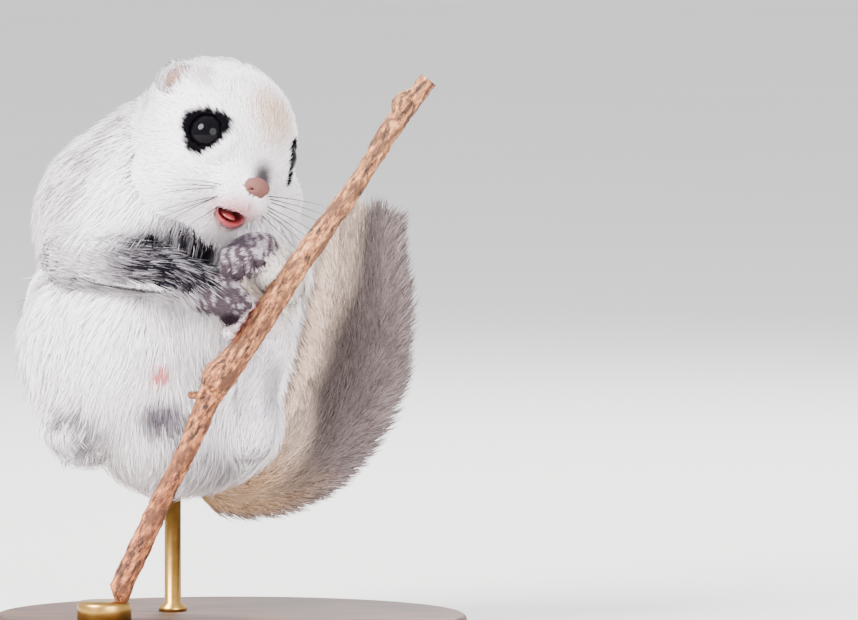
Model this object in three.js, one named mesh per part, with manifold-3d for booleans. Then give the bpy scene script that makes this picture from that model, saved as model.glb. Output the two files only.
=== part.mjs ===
// A flying squirrel sitting upright behind a cut twig, life size, on an oval display base.
// Millimetres, +Z up. The animal faces -Y, and its right side is towards -X.
import * as THREE from 'three';
import { mergeVertices } from 'three/addons/utils/BufferGeometryUtils.js';
import Module from 'manifold-3d';

const wasm = await Module();
wasm.setup();

const GAP = 0.3; // kept between parts that touch

// Driving sizes: stand and twig
const BASE = { length: 114, width: 84, height: 6, bevel: 1.2, sides: 36 };
const ROD = { radius: 2, x: -14, y: 7, top: 42, sides: 20 };
const SOCKET = { radius: 6.5, x: -29.6, y: -20, top: 11, sides: 28 };
const TWIG_FOOT = BASE.height + GAP;

// Driving sizes: head, in its own frame with x to its right, y forward and z up
const HEAD = { at: [-1.9, -7, 118.1], turn: 28.3, nod: 23.6, tilt: 19.7 };
const EYE = { radius: 4.8, side: 10.5, forward: 7, up: 4.8, lid: 0.75, opening: 4.35 };
const EAR = {
  side: 15.5,
  forward: -6.5,
  up: 9.6,
  half: [4.7, 2.6, 5.4],
  cup: [3.7, 2.2, 4.5],
  cupForward: 1.7,
};
const NOSE = { forward: 20.6, up: 0.2, half: [3.1, 1.9, 2.1], nostril: 0.55 };
const MOUTH = { side: 1.8, forward: 19.4, up: -8.6, half: [3.6, 6, 2] };

// Driving sizes: trunk of the body
const CREASE = 5; // width of the soft fold where two swellings meet
const BODY_MIDDLE = [-20, 3, 78];
const BODY = {
  chest: { at: [-20, 3, 100], half: [27, 25, 25] },
  belly: { at: [-27, 2, 70], half: [23.5, 26, 26] },
  back: { at: [-22, 12, 80], half: [24, 19, 32] },
  leftFlank: { at: [-2, 1, 78], half: [16.5, 18, 20] },
  rump: { at: [-13, 6, 55], half: [23, 25, 21.5] },
  rightHaunch: { at: [-34, 2, 59.5], half: [12, 19, 16] },
  leftHaunch: { at: [0, -2, 53], half: [12.5, 14, 14] },
  leftShoulder: { at: [7, -3, 92], half: [12, 14, 15] },
  neck: { at: [-13.5, 2, 115.5], half: [18, 17, 16] },
};
// Thin cuts that part the trunk: a place and the way that the plane faces
const BODY_CUTS = {
  waist: [[0, 0, 87.5], [0, 0, 1]],
  neck: [[-20, 2, 111], [-0.2, 0.35, 0.9]],
  rightArm: [[-30, 0, 100], [-0.8, -0.55, 0.1]],
  leftArm: [[2, 0, 95], [0.95, -0.2, -0.1]],
  loins: [[0, 0, 62], [0.1, 0, 1]],
  rightThigh: [[-27, 0, 50], [-0.9, -0.2, 0]],
  leftThigh: [[0, 0, 50], [0.95, -0.25, 0]],
};

// Closed shapes

const degrees = THREE.MathUtils.degToRad;

function vector([x, y, z]) {
  return new THREE.Vector3(x, y, z);
}

function solid(geometry) {
  const bare = geometry.clone();
  bare.deleteAttribute('normal');
  bare.deleteAttribute('uv');
  const merged = mergeVertices(bare);
  const vertProperties = new Float32Array(merged.getAttribute('position').array);
  const triVerts = new Uint32Array(merged.index.array);
  return new wasm.Manifold(new wasm.Mesh({ numProp: 3, vertProperties, triVerts }));
}

function joined(first, ...others) {
  return others.reduce((sum, other) => sum.add(other), first);
}

function without(first, ...knives) {
  return knives.reduce((left, knife) => left.subtract(knife), first);
}

// The largest closed surfaces of a solid, by volume, which leaves out loose scraps
function largest(shape, count = 1) {
  return shape.decompose().sort((a, b) => b.volume() - a.volume()).slice(0, count);
}

function eggGeometry({ at, half }, detail = 4, grow = 0) {
  const geometry = new THREE.IcosahedronGeometry(1, detail);
  const [a, b, c] = half;
  geometry.scale(a + grow, b + grow, c + grow);
  return geometry.translate(...at);
}

// Near the distance from an egg's surface, and below zero inside it
function eggDepth(spot, { at, half }) {
  const local = spot.clone().sub(vector(at)).divide(vector(half));
  const reach = local.length();
  const slope = local.divide(vector(half)).length();
  return slope > 0 ? (reach * (reach - 1)) / slope : -Math.min(...half);
}

// Eggs run into one soft body, with a fold of the given width where they meet
function softBody(eggs, fold) {
  return (spot) => eggs.reduce((depth, egg) => {
    const next = eggDepth(spot, egg);
    const share = Math.max(fold - Math.abs(depth - next), 0) / fold;
    return Math.min(depth, next) - (share * share * fold) / 4;
  }, Infinity);
}

// A closed skin seen whole from its middle: each ray runs out to where the body ends. The rays are
// closer together towards focus, a direction shorter than 1.
function skinGeometry(middle, body, { detail, focus = [0, 0, 0], grow = 0 }) {
  const step = 0.8;
  const halvings = 10;
  const skin = new THREE.IcosahedronGeometry(1, detail);
  const spots = skin.getAttribute('position');
  const ray = new THREE.Vector3();
  for (let i = 0; i < spots.count; i += 1) {
    ray.fromBufferAttribute(spots, i).normalize().add(vector(focus)).normalize();
    const inside = (length) => body(vector(middle).addScaledVector(ray, length)) < grow;
    let outer = step;
    while (inside(outer)) outer += step;
    let inner = outer - step;
    for (let k = 0; k < halvings; k += 1) {
      const half = (inner + outer) / 2;
      if (inside(half)) inner = half;
      else outer = half;
    }
    const end = vector(middle).addScaledVector(ray, inner);
    spots.setXYZ(i, end.x, end.y, end.z);
  }
  return skin;
}

// A closed tube through stations [x, y, z, half width, half thickness]. Its width lies along side, a
// direction or a function of place and heading. The share round of its length at each end is rounded.
function tubeGeometry(stations, { side, sides = 10, rings = 12, round = 0, grow = 0 }) {
  const curve = new THREE.CatmullRomCurve3(stations.map(vector));
  const size = (t, column) => {
    const place = t * (stations.length - 1);
    const k = Math.min(Math.floor(place), stations.length - 2);
    return THREE.MathUtils.lerp(stations[k][column], stations[k + 1][column], place - k);
  };
  const taper = (t) => {
    const inset = round > 0 ? Math.min(Math.min(t, 1 - t) / round, 1) : 1;
    return Math.max(Math.sqrt(1 - (1 - inset) ** 2), 0.2);
  };
  const spots = [];
  const faces = [];
  for (let i = 0; i <= rings; i += 1) {
    const t = round > 0 ? (1 - Math.cos((Math.PI * i) / rings)) / 2 : i / rings;
    const middle = curve.getPoint(t);
    const heading = curve.getTangent(t);
    if (i === 0) spots.push(...middle.clone().addScaledVector(heading, -grow));
    const wanted = typeof side === 'function' ? side(middle, heading) : vector(side);
    const across = wanted.addScaledVector(heading, -wanted.dot(heading)).normalize();
    const through = heading.clone().cross(across);
    for (let j = 0; j < sides; j += 1) {
      const angle = (2 * Math.PI * j) / sides;
      const width = Math.cos(angle) * (size(t, 3) * taper(t) + grow);
      const thickness = Math.sin(angle) * (size(t, 4) * taper(t) + grow);
      const rim = middle.clone().addScaledVector(across, width).addScaledVector(through, thickness);
      spots.push(...rim);
    }
    if (i === rings) spots.push(...middle.clone().addScaledVector(heading, grow));
  }
  const last = 1 + (rings + 1) * sides;
  for (let j = 0; j < sides; j += 1) {
    const next = (j + 1) % sides;
    faces.push(0, 1 + next, 1 + j);
    for (let i = 0; i < rings; i += 1) {
      const ring = 1 + i * sides;
      faces.push(ring + j, ring + next, ring + sides + j);
      faces.push(ring + next, ring + sides + next, ring + sides + j);
    }
    faces.push(last, last - sides + j, last - sides + next);
  }
  const geometry = new THREE.BufferGeometry();
  geometry.setAttribute('position', new THREE.Float32BufferAttribute(spots, 3));
  return geometry.setIndex(faces);
}

// All that lies on the side of a plane that its normal points to, as a box larger than the model
function beyond(at, normal) {
  const size = 400;
  const box = new THREE.BoxGeometry(size, size, size).translate(0, 0, size / 2 + GAP / 2);
  const turn = new THREE.Quaternion().setFromUnitVectors(vector([0, 0, 1]), vector(normal).normalize());
  return solid(box.applyQuaternion(turn).translate(...at));
}

// The two sides of a thin plane cut, the one that the normal points to first
function parted(shape, at, normal) {
  const back = normal.map((value) => -value);
  return [shape.intersect(beyond(at, normal)), shape.intersect(beyond(at, back))];
}

// A cone with its round end at root, such as a claw
function spikeGeometry(root, tip, radius, sides = 4) {
  const axis = vector(tip).sub(vector(root));
  const cone = new THREE.ConeGeometry(radius, axis.length(), sides).translate(0, axis.length() / 2, 0);
  const turn = new THREE.Quaternion().setFromUnitVectors(vector([0, 1, 0]), axis.normalize());
  return cone.applyQuaternion(turn).translate(...root);
}

// The same draws from 0 to 1 in every run
function seeded(seed) {
  let state = seed;
  return () => {
    state = (state * 16807) % 2147483647;
    return state / 2147483647;
  };
}

// Finishes

function finish(color, roughness, metalness = 0) {
  return new THREE.MeshStandardMaterial({ color, roughness, metalness });
}

const FINISHES = {
  belly: finish(0xf2eef2, 0.95),
  back: finish(0xb9b2b8, 0.95),
  sleeve: finish(0x6d666c, 0.95),
  paw: finish(0xa79aa1, 0.9),
  foot: finish(0xefe6ea, 0.9),
  tail: finish(0xb7a695, 0.95),
  nose: finish(0xb98d86, 0.55),
  eye: finish(0x0b0b10, 0.08),
  mouth: finish(0xb24a50, 0.4),
  bark: finish(0xa87a54, 0.9),
  base: finish(0x4a3020, 0.4),
  rod: finish(0xb08d4f, 0.3, 0.9),
};

// Twig

// Places down the middle of the twig, each with its half widths
const TWIG = [
  [-31.5, -20, 1, 3, 3],
  [-18.2, -20.5, 30.3, 2.7, 2.6],
  [-11.8, -21, 43.3, 2.4, 2.4],
  [-7.7, -21.5, 51.9, 2.6, 2.5],
  [-4.3, -22, 60.3, 3.1, 3],
  [-0.5, -22.5, 66.5, 3.8, 3.5],
  [3.4, -23, 71.5, 3.2, 3.1],
  [8.4, -23, 78.8, 3.1, 3],
  [16.3, -22, 90.8, 3, 2.9],
  [23.8, -21, 101.3, 2.8, 2.8],
  [31.4, -20, 111.7, 2.3, 2.3],
  [39.4, -19, 124.4, 2.7, 2.5],
  [47.8, -18, 135.2, 2.4, 2.3],
];
const TWIG_CURVE = new THREE.CatmullRomCurve3(TWIG.map(vector));

function twigShape(grow = 0) {
  const stem = solid(tubeGeometry(TWIG, { side: [1, 0, 0], sides: 8, rings: 18, grow }));
  const knots = [
    { at: [-2.2, -23, 65], half: [4.2, 3.8, 3.4] },
    { at: [41.2, -19, 129.8], half: [2.6, 2.3, 2.8] },
  ];
  const stub = tubeGeometry(
    [[-4.5, -23, 60.5, 1.3, 1.3], [-7.2, -24, 61, 1.1, 1.1], [-9.2, -24.6, 60.7, 0.9, 0.9]],
    { side: [0, 0, 1], sides: 6, rings: 2, grow },
  );
  const lumps = knots.map((knot) => solid(eggGeometry(knot, 1, grow)));
  const aboveFoot = beyond([0, 0, TWIG_FOOT - GAP / 2 - grow], [0, 0, 1]);
  return joined(stem, solid(stub), ...lumps).intersect(aboveFoot);
}

// A place at the given share of the twig's length and angle round it, off its middle by radius.
// Angle 0 is the side away from the body's back, and 90 degrees is the upper left side.
function byTwig(share, angle, radius) {
  const heading = TWIG_CURVE.getTangent(share);
  const front = vector([0, -1, 0]);
  const left = front.clone().cross(heading).normalize();
  const place = TWIG_CURVE.getPoint(share);
  place.addScaledVector(front, Math.cos(degrees(angle)) * radius);
  return place.addScaledVector(left, Math.sin(degrees(angle)) * radius).toArray();
}

// Head

function headFrame() {
  const turn = degrees(HEAD.turn);
  const nod = degrees(HEAD.nod);
  const forward = vector([Math.sin(turn) * Math.cos(nod), -Math.cos(turn) * Math.cos(nod), -Math.sin(nod)]);
  const right = vector([-Math.cos(turn), -Math.sin(turn), 0]);
  const up = right.clone().cross(forward);
  const frame = new THREE.Matrix4().makeBasis(right, forward, up);
  const tilt = new THREE.Matrix4().makeRotationAxis(forward, degrees(-HEAD.tilt));
  return frame.premultiply(tilt).setPosition(vector(HEAD.at));
}

const HEAD_FRAME = headFrame();

function headSolid(geometry) {
  return solid(geometry.applyMatrix4(HEAD_FRAME));
}

const HEAD_EGGS = [
  { at: [0, -3, 1], half: [19, 19.5, 18.5] },
  { at: [0, 12, -3.5], half: [8.5, 9.5, 8] },
  { at: [9.5, 3, -8], half: [10.5, 11.5, 10.5] },
  { at: [-13, 2, -8.5], half: [12.8, 11.5, 11.5] },
  { at: [0, 8, -12], half: [9, 9, 7] },
  { at: [2.6, 17.6, -4.4], half: [3.8, 3.4, 3] },
  { at: [-2.6, 17.6, -4.4], half: [3.8, 3.4, 3] },
];
const HEAD_FOLD = 3.5;

// Way that an eye looks, out of the head's side, forward and up
const GAZE = vector([0.78, 0.52, 0.34]).normalize();

function eyePlace(side, out = 0) {
  return [
    side * (EYE.side + out * GAZE.x),
    EYE.forward + out * GAZE.y,
    EYE.up + out * GAZE.z,
  ];
}

function headShape(detail, grow = 0) {
  const orbitOut = 9.5;
  const orbitRadius = 6.4;
  const flesh = softBody(HEAD_EGGS, HEAD_FOLD);
  const orbits = [1, -1].map((side) => ({ at: eyePlace(side, orbitOut), half: Array(3).fill(orbitRadius) }));
  const carved = (spot) => Math.max(flesh(spot), ...orbits.map((orbit) => -eggDepth(spot, orbit)));
  return headSolid(skinGeometry([0, 0, -2], carved, { detail, focus: [0, 0.3, -0.05], grow }));
}

function eyeShape(side, grow = 0) {
  const ball = { at: eyePlace(side), half: Array(3).fill(EYE.radius) };
  return headSolid(eggGeometry(ball, 3, grow));
}

// The lids: a ring round the eye's opening
function lidShape(side) {
  const out = Math.sqrt(EYE.radius ** 2 - EYE.opening ** 2);
  const ring = new THREE.TorusGeometry(EYE.opening + EYE.lid / 2, EYE.lid, 5, 18);
  const gaze = vector([side * GAZE.x, GAZE.y, GAZE.z]);
  ring.applyQuaternion(new THREE.Quaternion().setFromUnitVectors(vector([0, 0, 1]), gaze));
  return headSolid(ring.translate(...eyePlace(side, out)));
}

function noseShape(grow = 0) {
  const pad = headSolid(eggGeometry({ at: [0, NOSE.forward, NOSE.up], half: NOSE.half }, 2, grow));
  if (grow > 0) return pad;
  const nostrils = [1, -1].map((side) => {
    const inner = [side * 1.3, NOSE.forward + 0.4, NOSE.up - 0.3, NOSE.nostril, NOSE.nostril];
    const outer = [side * 3.2, NOSE.forward + 1.6, NOSE.up - 0.9, NOSE.nostril * 1.4, NOSE.nostril];
    return headSolid(tubeGeometry([inner, outer], { side: [0, 0, 1], sides: 5, rings: 1 }));
  });
  return without(pad, ...nostrils);
}

const TONGUE = { at: [MOUTH.side, MOUTH.forward - 1.8, MOUTH.up - 0.9], half: [2, 2.6, 0.6] };

function tongueShape(grow = 0) {
  return headSolid(eggGeometry(TONGUE, 2, grow));
}

function mouthCut() {
  const opening = headSolid(eggGeometry({ at: [MOUTH.side, MOUTH.forward, MOUTH.up], half: MOUTH.half }, 2));
  const seam = [
    [5.6, 15.2, -8.2, 0.7, 0.35],
    [3.4, 19.2, -7.6, 0.7, 0.35],
    [0.3, 20.6, -6.2, 0.7, 0.35],
    [-2.4, 19.9, -7.2, 0.7, 0.35],
    [-5.2, 16, -8.4, 0.6, 0.3],
  ];
  const philtrum = [
    [0, 21.4, -1.6, 0.7, 0.3],
    [0, 21.2, -4, 0.7, 0.3],
    [0.2, 20.4, -6.4, 0.7, 0.3],
  ];
  const lipLine = headSolid(tubeGeometry(seam, { side: [0, 1, 0], sides: 5, rings: 8 }));
  const middleLine = headSolid(tubeGeometry(philtrum, { side: [0, 1, 0], sides: 5, rings: 4 }));
  return joined(opening, lipLine, middleLine);
}

function lowerLipShape() {
  const lip = [
    [5, 17, -8.3, 0.6, 0.6],
    [3.6, 18.6, -10, 0.9, 0.8],
    [1.6, 19, -10.7, 1, 0.9],
    [-0.6, 18.8, -10, 0.9, 0.8],
    [-2.2, 18, -8.4, 0.6, 0.6],
  ];
  return headSolid(tubeGeometry(lip, { side: [0, 0, 1], sides: 6, rings: 7, round: 0.2 }));
}

const JAW = { at: [0.6, 13.5, -14.6], half: [7, 9.5, 6.4] };

function jawRegion(grow = 0) {
  return headSolid(eggGeometry(JAW, 2, grow));
}

function earShape(side, grow = 0) {
  const [a, b, c] = EAR.half;
  const lay = new THREE.Euler(degrees(28), degrees(-14 * side), degrees(-20 * side));
  const settle = (geometry) => {
    geometry.applyQuaternion(new THREE.Quaternion().setFromEuler(lay));
    return headSolid(geometry.translate(side * EAR.side, EAR.forward, EAR.up));
  };
  const outer = settle(eggGeometry({ at: [0, 0, 0], half: [a, b, c] }, 3, grow));
  if (grow > 0) return outer;
  return outer.subtract(settle(eggGeometry({ at: [0, EAR.cupForward, 0.2], half: EAR.cup }, 2)));
}

// Trunk of the body

const bodyField = softBody(Object.values(BODY), CREASE);

function bodyShape(detail, grow = 0) {
  return solid(skinGeometry(BODY_MIDDLE, bodyField, { detail, grow }));
}

// Limbs, as stations [x, y, z, half width, half thickness]

const FOREARMS = {
  right: [
    [-38, -11, 93, 8, 7],
    [-27, -18.5, 91.5, 6.8, 6],
    [-16, -23, 90, 5.4, 4.8],
    [-6.5, -26, 87, 3.6, 3.2],
  ],
  left: [[12, -8, 86, 6, 6], [11.5, -16, 89, 5, 5], [9, -21, 92.5, 3.8, 3.5]],
};
const SHANKS = {
  right: [[-38, -11, 54, 7, 7], [-35, -5, 50.5, 5.5, 5.5], [-31, 7, 48.5, 4.4, 4.4]],
  left: [[3, -9, 49, 7, 7], [6, -11.5, 60, 4.8, 4.8], [9.5, -13.5, 70.5, 3.8, 3.8]],
};

function limbShape(stations, grow = 0) {
  return solid(tubeGeometry(stations, { side: [0, 0, 1], sides: 10, rings: 7, round: 0.15, grow }));
}

const HANDS = {
  right: {
    palm: [[-7.6, -26.6, 87.2, 3.6, 2.6], [-3, -27.6, 85, 4.5, 2.8], [0.6, -27.8, 83.6, 3.9, 2.2]],
    fingers: [
      [[-2.6, -27.8, 83.4], [-1.4, -28.6, 81], [-0.5, -28.2, 78.9]],
      [[-0.6, -28.2, 84.2], [0.7, -29, 81.6], [1.2, -28.4, 79.5]],
      [[1, -28.2, 85], [2.4, -29, 82.9], [3, -28.4, 80.9]],
      [[2.2, -27.6, 86], [3.9, -28.2, 84.3], [4.6, -27.8, 82.6]],
    ],
    side: [0.78, 0, 0.62],
  },
  left: {
    palm: [[9.6, -22.6, 95.6, 3.2, 2.8], [5.4, -24.4, 94.6, 4.3, 3.3], [0.8, -25, 92, 3.4, 2.8]],
    fingers: [
      [[0.6, -26.4, 92.8], [0, -27.6, 90.8], [1, -26.8, 89.2]],
      [[3, -27, 93.6], [2.6, -28.2, 91.2], [3.2, -27, 89.4]],
      [[5.4, -27, 94.4], [5.2, -28, 92], [5.6, -26.8, 90.2]],
      [[7.6, -26, 95.2], [7.6, -27, 93], [7.8, -26, 91.4]],
    ],
    side: [-0.45, 0, 0.89],
  },
};
const FINGER = 1.15;
const CLAW = { radius: 0.42, length: 1.8 };

// A finger or toe through three places, with a claw at its tip
function digitShape(places, radius, grow = 0) {
  const stations = places.map((place, i) => [...place, radius * (1 - 0.1 * i), radius * (1 - 0.1 * i)]);
  const section = { side: [0.6, 0, 0.8], sides: 5, rings: 3, round: 0.3, grow };
  const finger = solid(tubeGeometry(stations, section));
  const tip = vector(places.at(-1));
  const heading = tip.clone().sub(vector(places.at(-2))).normalize();
  const root = tip.clone().addScaledVector(heading, -0.9);
  const point = root.clone().addScaledVector(heading, CLAW.length + grow);
  return finger.add(solid(spikeGeometry(root.toArray(), point.toArray(), CLAW.radius + grow)));
}

function handShape({ palm, fingers, side }, grow = 0) {
  const pad = solid(tubeGeometry(palm, { side, sides: 10, rings: 6, round: 0.3, grow }));
  return joined(pad, ...fingers.map((places) => digitShape(places, FINGER, grow)));
}

// The left foot holds the twig: its toes bend round from behind it, one above another
const TOES = { count: 4, radius: 1.45, first: 0.515, spacing: 0.025 };

function leftFootShape(grow = 0) {
  const sole = [
    [11, -12.5, 70.5, 4, 3.4],
    [9.5, -14.6, 75, 4.4, 3.2],
    [5.5, -16, 78, 5, 2.8],
    [2, -17.6, 77.6, 4.4, 2.2],
  ];
  const body = solid(tubeGeometry(sole, { side: [0.5, 0, 0.87], sides: 10, rings: 7, round: 0.25, grow }));
  const clearance = 3.2 + GAP + TOES.radius;
  const toes = Array.from({ length: TOES.count }, (_, i) => {
    const share = TOES.first + i * TOES.spacing;
    const bend = [168, 118, 72].map((angle) => byTwig(share, angle, clearance + (angle > 150 ? 0.4 : 0)));
    return digitShape(bend, TOES.radius, grow);
  });
  return joined(body, ...toes);
}

function rightFootShape(grow = 0) {
  const sole = [
    [-29.5, 14, 49, 3.6, 3],
    [-31.5, 8, 46.4, 4, 2.6],
    [-33.5, 0, 46.2, 4.6, 2.4],
    [-34.5, -4, 46.8, 4.2, 2],
  ];
  const body = solid(tubeGeometry(sole, { side: [1, 0, 0], sides: 10, rings: 7, round: 0.25, grow }));
  const toes = Array.from({ length: TOES.count }, (_, i) => {
    const x = -37.8 + i * 2.3;
    return digitShape([[x, -3, 47], [x - 0.2, -6.4, 47.2], [x - 0.2, -9, 46]], TOES.radius, grow);
  });
  return joined(body, ...toes);
}

// Gliding membranes: folded edges that run from wrist to ankle along each flank

const MEMBRANE = { width: 3.4, thickness: 0.9 };
const MEMBRANES = {
  right: [
    [-6, -26.5, 85], [-17, -25.2, 87], [-31, -20, 88.5], [-42, -8.5, 89], [-46.5, 2, 82],
    [-46.8, 5, 68], [-42, 4, 55], [-36, -2, 48],
  ],
  left: [[10.5, -19, 91.5], [13.5, -9, 87], [14.5, -3, 78], [10.5, -3, 68], [10, -10, 64]],
};

function membraneShape(places, grow = 0) {
  const ends = MEMBRANE.thickness;
  const width = (i) => (i === 0 || i === places.length - 1 ? ends : MEMBRANE.width);
  const stations = places.map((place, i) => [...place, width(i) + grow, MEMBRANE.thickness + grow]);
  const outward = (spot) => spot.clone().sub(vector([BODY_MIDDLE[0], BODY_MIDDLE[1], spot.z]));
  return solid(tubeGeometry(stations, { side: outward, sides: 4, rings: 2 * places.length }));
}

// Tail: a core with flat locks of hair combed out to both sides, as on a feather

// Places down the middle of the tail, each with the plume's half width and the core's half thickness
const TAIL = [
  [-9.6, 14, 39.7, 9, 7],
  [2.4, 12, 37, 9.5, 6],
  [13.2, 8, 40, 11, 4.6],
  [22.8, 5, 49.5, 13.4, 3.4],
  [28.8, 3, 63.3, 15.4, 2.8],
  [31.2, 3, 80, 14.6, 2.4],
  [32.4, 5, 97.5, 11, 1.6],
];
const TAIL_FACE = vector([-0.3, -0.95, 0]).normalize();
const TAIL_CURVE = new THREE.CatmullRomCurve3(TAIL.map(vector));
const TAIL_CUTS = [0.3, 0.62];
const TAIL_CORE = 0.45; // core's share of the plume's width
const TAIL_LOCKS = { rows: 15, length: 0.17, width: 3.3, thickness: 1.1, layer: 0.8, tips: 5 };

// A place on the tail at a share of its length, a share of the plume's half width and off its plane
function tailSpot(share, across, off = 0) {
  const along = Math.min(share, 1);
  const heading = TAIL_CURVE.getTangent(along);
  const past = Math.max(share - 1, 0) * TAIL_CURVE.getLength();
  const place = TAIL_CURVE.getPoint(along).addScaledVector(heading, past);
  const rank = along * (TAIL.length - 1);
  const k = Math.min(Math.floor(rank), TAIL.length - 2);
  const halfWidth = THREE.MathUtils.lerp(TAIL[k][3], TAIL[k + 1][3], rank - k);
  const side = TAIL_FACE.clone().cross(heading).normalize();
  return place.addScaledVector(side, across * halfWidth).addScaledVector(TAIL_FACE, off).toArray();
}

// How far a hair has gone along the tail, as a share of its length, when it is this far out
const combed = (out) => TAIL_LOCKS.length * out ** 1.25;

// A flat lock that leaves the core at share, and bends as it runs out to the plume's edge
function tailLock(share, inner, outer, off, scale) {
  const profile = [[0, 0.75, 1], [0.35, 1, 1], [0.7, 0.8, 0.75], [1, 0.16, 0.3]];
  const stations = profile.map(([t, width, thickness]) => {
    const across = THREE.MathUtils.lerp(inner, outer, t);
    const place = tailSpot(share + combed(t) * scale, across, off);
    return [...place, width * TAIL_LOCKS.width, thickness * TAIL_LOCKS.thickness];
  });
  const flat = (spot, heading) => TAIL_FACE.clone().cross(heading);
  return solid(tubeGeometry(stations, { side: flat, sides: 4, rings: 3 }));
}

function tailShape() {
  const random = seeded(11);
  const vary = (amount) => 1 + amount * (2 * random() - 1);
  const core = TAIL.map(([x, y, z, width, thickness]) => [x, y, z, width * TAIL_CORE, thickness]);
  const across = (spot, heading) => TAIL_FACE.clone().cross(heading);
  const stem = solid(tubeGeometry(core, { side: across, sides: 8, rings: 14, round: 0.1 }));
  const locks = [];
  for (let i = 0; i < TAIL_LOCKS.rows; i += 1) {
    const share = 0.06 + (0.83 * i) / (TAIL_LOCKS.rows - 1);
    const off = TAIL_LOCKS.layer * (i % 2 === 0 ? 1 : -1);
    for (const side of [1, -1]) {
      locks.push(tailLock(share * vary(0.015), 0.15 * side, side * vary(0.06), off * side, vary(0.1)));
    }
  }
  for (let i = 0; i < TAIL_LOCKS.tips; i += 1) {
    const outer = THREE.MathUtils.mapLinear(i, 0, TAIL_LOCKS.tips - 1, -0.72, 0.72);
    const scale = vary(0.06) * (1.15 - 0.25 * outer ** 2);
    locks.push(tailLock(0.88, outer * 0.4, outer, i % 2 ? 0.5 : -0.5, scale));
  }
  return joined(stem, ...locks);
}

// A thin sheet that parts the tail along the lie of its locks
function tailKnife(share) {
  const reach = 1.6;
  const steps = [-1, -0.6, -0.25, 0, 0.25, 0.6, 1];
  const stations = steps.map((step) => {
    const across = step * reach;
    return [...tailSpot(share + combed(Math.abs(across)), across), 40, GAP * 0.6];
  });
  return solid(tubeGeometry(stations, { side: TAIL_FACE.toArray(), sides: 4, rings: 12 }));
}

// Stand

function baseShape() {
  const { length, width, height, bevel, sides } = BASE;
  const radius = length / 2;
  const profile = [
    [0, 0],
    [radius - bevel, 0],
    [radius, bevel],
    [radius, height - bevel],
    [radius - bevel, height],
    [0, height],
  ];
  const plate = new THREE.LatheGeometry(profile.map(([r, z]) => new THREE.Vector2(r, z)), sides);
  return solid(plate.rotateX(Math.PI / 2).scale(1, width / length, 1));
}

function uprightShape({ radius, x, y, top, sides }) {
  const bottom = BASE.height + GAP;
  const post = new THREE.CylinderGeometry(radius, radius, top - bottom, sides).rotateX(Math.PI / 2);
  return solid(post.translate(x, y, (top + bottom) / 2));
}

// All parts, each cut clear of those made before it

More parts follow.
